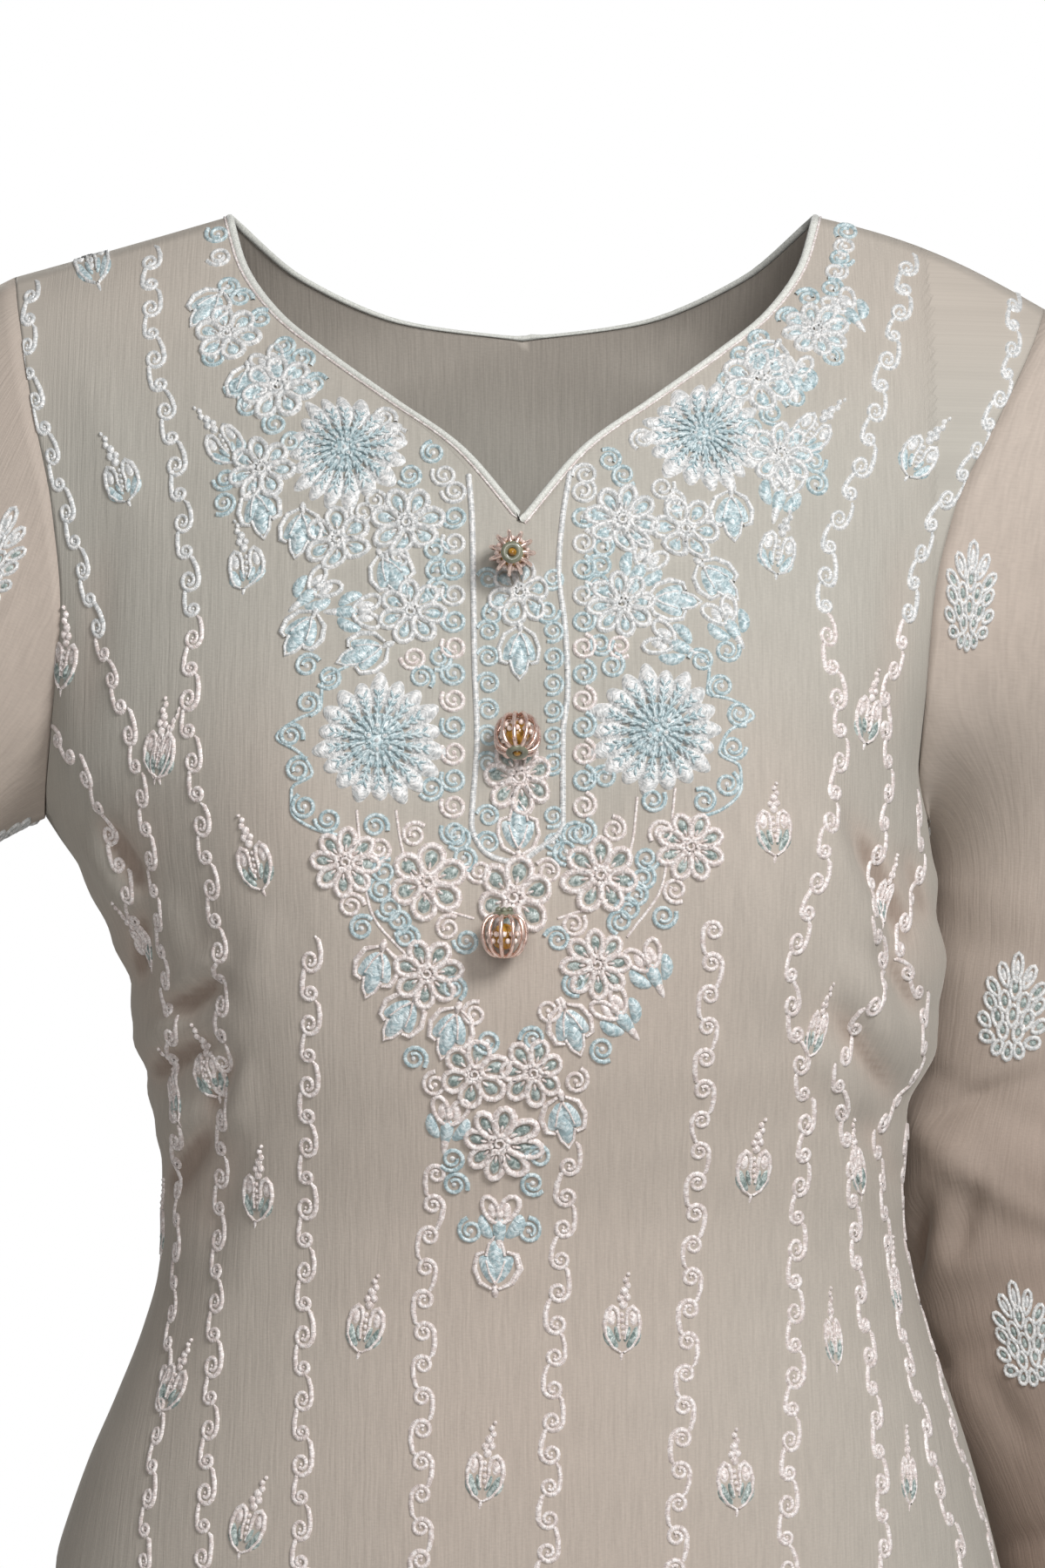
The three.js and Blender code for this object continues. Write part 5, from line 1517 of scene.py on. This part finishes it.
def embroider_front():
    work = Embroidery("front")
    for x, z, radius in each(DAISIES):
        lay_on_front(work, DAISY, x, z, turns=x * 0.01, scales=radius / DAISY_RADIUS)
    for i, (x, z, radius) in enumerate(each(FLOWERS)):
        size = max(radius, 10) / FLOWER_RADIUS * FLOWER_SIZE
        lay_on_front(work, FLOWER[6 + i % 3, z > SILVER_ABOVE_Z], x, z, turns=0.7 * i, scales=size)
    for i, (x, z, turn) in enumerate(each(LEAVES)):
        motif = (BELL if i % 5 in (1, 3) else LEAF)[z > SILVER_ABOVE_Z - 20]
        lay_on_front(work, motif, x, z, turns=math.radians(-turn), scales=LEAF_SIZE)
    for i, (x, z, aqua) in enumerate(each(RINGS)):
        lay_on_front(work, ring_at(aqua, z), x, z, turns=1.1 * i, scales=RING_SIZE, mirror=x > 0)
    for x in RING_ROWS_X:
        for i, z in enumerate(np.arange(*RING_ROW_Z)):
            lay_on_front(work, ring_at(i % 2, z), x, z, turns=0.4, scales=1.08, mirror=x > 0)
            if z < -138 and all(abs(z - middle) > BUTTON_CLEAR for middle in BUTTONS_Z):
                lay_on_front(work, RING["aqua"], x * 0.5, z - 4, turns=2.0, scales=0.95, mirror=x < 0)
    cords = [(run, "silver", 1.3, 1.8, 4) for run in smooth_halves(NECK_CORD)]
    cords += [(smooth_line(link, 2.0), "aqua", 0.85, 1.4, 3) for link in LINKS]
    cords += [(smooth_line(stem), "pink", 0.7, 1.2, 4) for stem in STEMS]
    for (x, z), thread, half, height, sides in cords:
        panel = front_half(x.mean())
        work.line(panel, thread, *panel.find(x, z), half, height, sides)
    for kind, points in COLUMNS:
        panel = front_half(points[0][0])
        work.chain(panel, kind, *column_path(panel, points))
    for x, z, lean in each(BUTIS):
        turn = lean * BUTI_LEAN - (0.3 if x > 130 and z < -150 else 0)
        lay_on_front(work, BUTI[z > SILVER_ABOVE_Z], x, z, turns=turn, mirror=lean > 0)
    slim = BUTI[False].slimmer(0.55)
    for x, z, lean in each(SLIM_BUTIS):
        lay_on_front(work, slim, x, z, turns=-math.radians(lean))
    for side in SIDES:
        edge_lines(work, front_halves[side])
    for x, z in FRONT_LANES:
        panel = front_half(x)
        column = panel.find(x, z)[1]
        for low in np.arange(z - LANE_PITCH, KAMEEZ_HEM_Z + HEM_CLEAR, -LANE_PITCH):
            work.lay(panel, BUTI[False], panel.find(x, low)[0], column, turns=-BUTI_LEAN)
    return work.build()


SEAM_STITCH = {"half": 0.35, "height": 0.55}
TURNED_HEM = 11.0


def edge_lines(work, panel):
    """Rows of plain stitching above the hem, beside the slit and along the shoulder seam."""
    last = panel.points.shape[1] - 1.0
    hem = float(panel.find(panel.points[0, 5, 0], KAMEEZ_HEM_Z + TURNED_HEM)[0][0])
    columns = np.linspace(0, last - 1.5, 160)
    work.line(panel, "pink", np.full(160, hem), columns, **SEAM_STITCH)
    slit = max(SLIT_TOP_Z.values()) - 10
    rows = np.arange(hem, float(np.argmin(np.abs(panel.points[:, -1, 2] - slit))), 1.0)
    work.line(panel, "pink", rows, np.full(len(rows), last - 1.5), **SEAM_STITCH)
    shoulder = panel.points.shape[0] - 2.6
    work.line(panel, "pink", np.full(90, shoulder), np.linspace(3, last - 1, 90), **SEAM_STITCH)


def smooth_halves(points):
    """The cord beside the opening: its left and right runs, each as x and z."""
    x, z = smooth_line(points, 2.5)
    low = int(np.argmin(z))
    return [(x[: low + 1], z[: low + 1]), (x[low:], z[low:])]


def lanes_of_butis(work, panel, lanes, top_z):
    """Scattered sprigs in upright lanes, every other lane half a step lower."""
    for i, share in enumerate(lanes):
        column = share * (panel.points.shape[1] - 1)
        rows = panel.points[:, int(column), 2]
        for z in np.arange(top_z - (i % 2) * LANE_PITCH / 2, rows[0] + HEM_CLEAR, -LANE_PITCH):
            row = float(np.argmin(np.abs(rows - z)))
            work.lay(panel, BUTI[z > SILVER_ABOVE_Z], row, column, turns=-BUTI_LEAN)


# Down each half of the back: the share of its width, the kind of chain, and the row where it begins.
BACK_TOP_ROW = len(LEVELS) - 3.0
BACK_COLUMNS = (
    (0.16, "under", float(np.searchsorted(LEVELS, 1.6))),
    (0.42, "loops", BACK_TOP_ROW),
    (0.68, "over", BACK_TOP_ROW),
    (0.9, "loops", BACK_TOP_ROW * 0.86),
)
BACK_LANES = (0.29, 0.55, 0.79)
BACK_LANES_TOP_Z = -110


def embroider_back():
    """The same columns and sprigs, more widely spaced."""
    work = Embroidery("back")
    for side in SIDES:
        panel = back_halves[side]
        hem = float(panel.find(0, KAMEEZ_HEM_Z + HEM_MARGIN)[0][0])
        for share, kind, top in BACK_COLUMNS:
            rows = np.arange(top, hem, -1.0)
            work.chain(panel, kind, rows, np.full(len(rows), share * (HALF_COLUMNS - 1)))
        lanes_of_butis(work, panel, BACK_LANES, BACK_LANES_TOP_Z)
        edge_lines(work, panel)
    return work.build()


def up_the_arm(side, row):
    """The arm's direction at a row of its sleeve; the rows of the cap take the one below them."""
    _, along, _, _ = arm_frame(side, np.array([np.clip(1 - row / ARM_ROWS, 0, 1)]))
    return -along[0]


# Lanes of sprigs down the far side of the arm: how far round, and how far up from the cuff they begin.
ARM_LANES = ((0.5, 95.0), (0.74, 40.0), (0.98, 100.0))


def embroider_sleeve(side):
    """Sprigs down the front of the sleeve, and more in lanes round the rest of the arm."""
    work = Embroidery(f"sleeve_{side}")
    panel = sleeves[side][1]
    over_front = Panel(panel.points[:, : ROUND_COLUMNS // 2 + 1])
    for x, z, share in SLEEVE_SPRIGS[side]:
        row, column = over_front.find(x, z)
        work.lay_along(over_front, SPRIG.slimmer(share), row, column, up_the_arm(side, row[0]))
    for turn, first in ARM_LANES:
        for up_arm in np.arange(first, panel.along[-1] - 60, LANE_PITCH):
            row = np.interp(up_arm, panel.along, np.arange(len(panel.along)))
            work.lay_along(panel, SPRIG, row, turn * ROUND_COLUMNS, up_the_arm(side, row))
    cuff = np.interp(TURNED_HEM, panel.along, np.arange(len(panel.along)))
    columns = np.linspace(0, ROUND_COLUMNS - 0.01, 200)
    work.line(panel, "pink", np.full(200, cuff), columns, **SEAM_STITCH)
    return work.build()


front_work = embroider_front()
back_work = embroider_back()
sleeve_work = {side: embroider_sleeve(side) for side in SIDES}


# ---- neck piping and seam cords ----


def sweep(path, side, out, wide, tall, sides=8, closed=True):
    """A tube of elliptical section along a path; side and out are its two directions."""
    around = np.arange(sides) * 2 * math.pi / sides
    points = path[:, None] + side[:, None] * (wide * np.cos(around))[:, None]
    points = points + out[:, None] * (tall * np.sin(around))[:, None]
    ids = numbered(len(path), sides)
    if closed:
        ids = np.concatenate([ids, ids[:1]])
    length = distance(path)
    uv = stack(length[:, None], around * wide)
    return points.reshape(-1, 3), grid_faces(ids, ring=True), uv.reshape(-1, 2)


def neck_edge():
    """The cloth edge round the neck: points, directions into the opening, and outward normals."""
    runs = []
    for halves, face, order in (
        (front_halves, "front", (("right", -1), ("left", 1))),
        (back_halves, "back", (("left", -1), ("right", 1))),
    ):
        first = int(np.argmin(np.abs(LEVELS - 1 - NECK_ROW[face] / YOKE_ROWS)))
        for side, step in order:
            panel = halves[side]
            edge, inner = panel.points[first:, 0], panel.points[first:, 1]
            runs.append(np.stack([edge, unit(edge - inner), panel.normals[first:, 0]], 1)[::step])
    path = np.concatenate([run[:-1] for run in runs])
    return path[:, 0], path[:, 1], path[:, 2]


def relax(values, times):
    for _ in range(times):
        values = (np.roll(values, 1, 0) + 2 * values + np.roll(values, -1, 0)) / 4
    return values


def add_piping():
    edge, inward, normal = neck_edge()
    inward, normal = unit(relax(inward, 4)), unit(relax(normal, 6))
    normal = unit(normal - inward * dot(normal, inward))
    points, faces, uv = sweep(edge + inward * 0.9, inward, normal, 1.65, 1.25)
    piping = add_mesh("piping_neck", points, faces, PIPING, uv * MM)
    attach(piping, "root")
    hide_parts("neck_piping")
    cord = edge - inward * 1.0 + normal * 0.5
    points, faces, uv = sweep(cord, inward, normal, 0.55, 0.55, 6)
    seam = add_mesh("piping_cord", points, faces, PINK, uv * MM)
    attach(seam, "root")
    return [piping, seam]


neck_work = add_piping()

# ---- each cloth piece's cut, looked up in CUTS and not used further ----


def declare(shell, cut):
    cut = CUTS[cut]


declare(front_shell, "kameez")
declare(back_shell, "kameez")
declare(band, "waistband")
for side in SIDES:
    declare(sleeves[side][0], "sleeve")
    declare(legs[side], "leg")
    declare(flares[side], "flare")

# ---- cage buttons ----

BUTTON_SCALE = 1.18
CAGE = {"ribs": 11, "radius": 7.2, "neck": 2.7, "foot": 1.3, "half_height": 6.6, "wire": 0.68}


def lathe(profile, sides=20):
    """Points and faces of a profile of (radius, height) turned round the z axis."""
    around = np.arange(sides) * 2 * math.pi / sides
    profile = np.array(profile, float)
    points = stack(profile[:, :1] * np.cos(around), profile[:, :1] * np.sin(around), profile[:, 1:])
    return points.reshape(-1, 3), grid_faces(numbered(len(profile), sides), ring=True)


def ball(centre, radius, sides=12):
    angles = np.linspace(-math.pi / 2, math.pi / 2, sides // 2 + 1)
    profile = [(max(radius * math.cos(a), 0.01), radius * math.sin(a)) for a in angles]
    points, faces = lathe(profile, sides)
    return points + centre, faces


def cage_wires():
    """Ribs that bulge from the neck ring to the foot, and the two rings that hold them."""
    parts = []
    t = np.linspace(0, 1, 15)
    climb = CAGE["half_height"] * np.cos(np.pi * t)
    reach = mix(CAGE["neck"], CAGE["foot"], t) + (CAGE["radius"] - 2) * np.sin(np.pi * t) ** 0.8
    for i in range(CAGE["ribs"]):
        a = 2 * math.pi * i / CAGE["ribs"]
        toward = np.array([math.cos(a), math.sin(a), 0])
        beside = np.array([-math.sin(a), math.cos(a), 0])
        path = reach[:, None] * toward + climb[:, None] * [0, 0, 1]
        out = unit(np.cross(beside, unit(np.gradient(path, axis=0))))
        wire_path = (path, np.repeat(beside[None], len(t), 0), out)
        parts.append(sweep(*wire_path, CAGE["wire"], CAGE["wire"], 6, closed=False)[:2])
    for radius, height in ((CAGE["neck"], CAGE["half_height"]), (CAGE["foot"], -CAGE["half_height"])):
        turn = np.linspace(0, 2 * math.pi, 9) + 0.4
        profile = stack(radius + 0.7 * np.cos(turn), height + 0.7 * np.sin(turn))
        parts.append(lathe(profile, 18))
    return join(parts)


def add_button(node, tilt):
    low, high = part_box(node)
    middle = (np.array(low) + np.array(high)) / 2 / MM
    turn = math.radians(tilt)
    spin = np.array([[1, 0, 0], [0, math.cos(turn), -math.sin(turn)], [0, math.sin(turn), math.cos(turn)]])
    crown = [ball((*2.1 * direction(a), CAGE["half_height"] + 1.6), 1.15, 10) for a in (0.5, 2.6, 4.7)]
    cap_turn = np.linspace(0, 2 * math.pi, 11)
    cap = lathe(stack(2.5 + 1.2 * np.cos(cap_turn), 7.0 + 0.9 * np.sin(cap_turn)), 20)
    beads = [
        ball((*5.0 * direction(a), z), 0.95, 8)
        for z, twist in ((-1.6, 0.0), (0.6, 0.26))
        for a in np.arange(12) * math.pi / 6 + 0.26 + twist
    ]
    core = [ball((0, 0, -0.3), 4.3, 20), ball((0, 0, 6.9), 1.5, 10)]
    pieces = [
        ("wires", cage_wires(), WIRE, "button_wire"),
        ("core", join(core), AMBER, "button_bead"),
        ("beads", join(beads), PEARL, "button_bead"),
        ("cap", cap if tilt else join(crown + [cap]), OLIVE, "button_bead"),
    ]
    for name, (points, faces), material, slot in pieces:
        piece = add_mesh(f"{node}_{name}", points @ spin.T * BUTTON_SCALE + middle, faces, material)
        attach(piece, "root")
        if name == "wires":
            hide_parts(node)


for node, tilt in (("button_top", 90), ("button_middle", 145), ("button_bottom", 0)):
    add_button(node, tilt)


# ---- light and floor ----


def add_light(name, energy, size, place, target, colour=(1, 1, 1)):
    data = bpy.data.lights.new(name, "AREA")
    data.energy = energy
    data.size = size
    data.color = colour
    lamp = bpy.data.objects.new(name, data)
    lamp.location = place
    aim = np.array(target, float) - np.array(place, float)
    lamp.rotation_euler = Vector(aim).to_track_quat("-Z", "Y").to_euler()
    bpy.context.collection.objects.link(lamp)


def add_floor():
    size, z = 1.5, -1.42
    corners = [(-size, -size), (size, -size), (size, size), (-size, size)]
    mesh = bpy.data.meshes.new("floor")
    mesh.from_pydata([(x, y, z) for x, y in corners], [], [(0, 1, 2, 3)])
    n = Nodes("floor")
    speckle = n.remap(n.noise(n.place(), 40.0), 0.3, 0.7)
    n.shade(Base_Color=n.blend(speckle, srgb(236, 236, 234), srgb(242, 242, 240)), Roughness=0.9)
    mesh.materials.append(n.material)
    floor = bpy.data.objects.new("floor", mesh)
    bpy.context.collection.objects.link(floor)


SURROUND_LIGHT = 0.2


def add_world():
    """Plain white round the suit, and a weaker white light from it."""
    world = bpy.data.worlds.new("studio")
    world.use_nodes = True
    tree = world.node_tree
    soft = tree.nodes["Background"]
    soft.inputs[0].default_value = (1, 1, 1, 1)
    soft.inputs[1].default_value = SURROUND_LIGHT
    seen = tree.nodes.new("ShaderNodeBackground")
    seen.inputs[0].default_value = (1, 1, 1, 1)
    seen.inputs[1].default_value = 1.0
    path = tree.nodes.new("ShaderNodeLightPath")
    either = tree.nodes.new("ShaderNodeMixShader")
    tree.links.new(path.outputs["Is Camera Ray"], either.inputs[0])
    tree.links.new(soft.outputs[0], either.inputs[1])
    tree.links.new(seen.outputs[0], either.inputs[2])
    tree.links.new(either.outputs[0], tree.nodes["World Output"].inputs[0])
    bpy.context.scene.world = world
    bpy.context.scene.view_settings.view_transform = "Standard"


add_world()
add_floor()
add_light("key", 41, 0.7, (1.0, -1.6, 0.95), (0, 0, -0.3))
add_light("fill", 17, 1.0, (-0.1, -2.4, 0.3), (0, 0, -0.4))
add_light("rear", 34, 1.6, (0.2, 2.5, 0.8), (0, 0, -0.6))
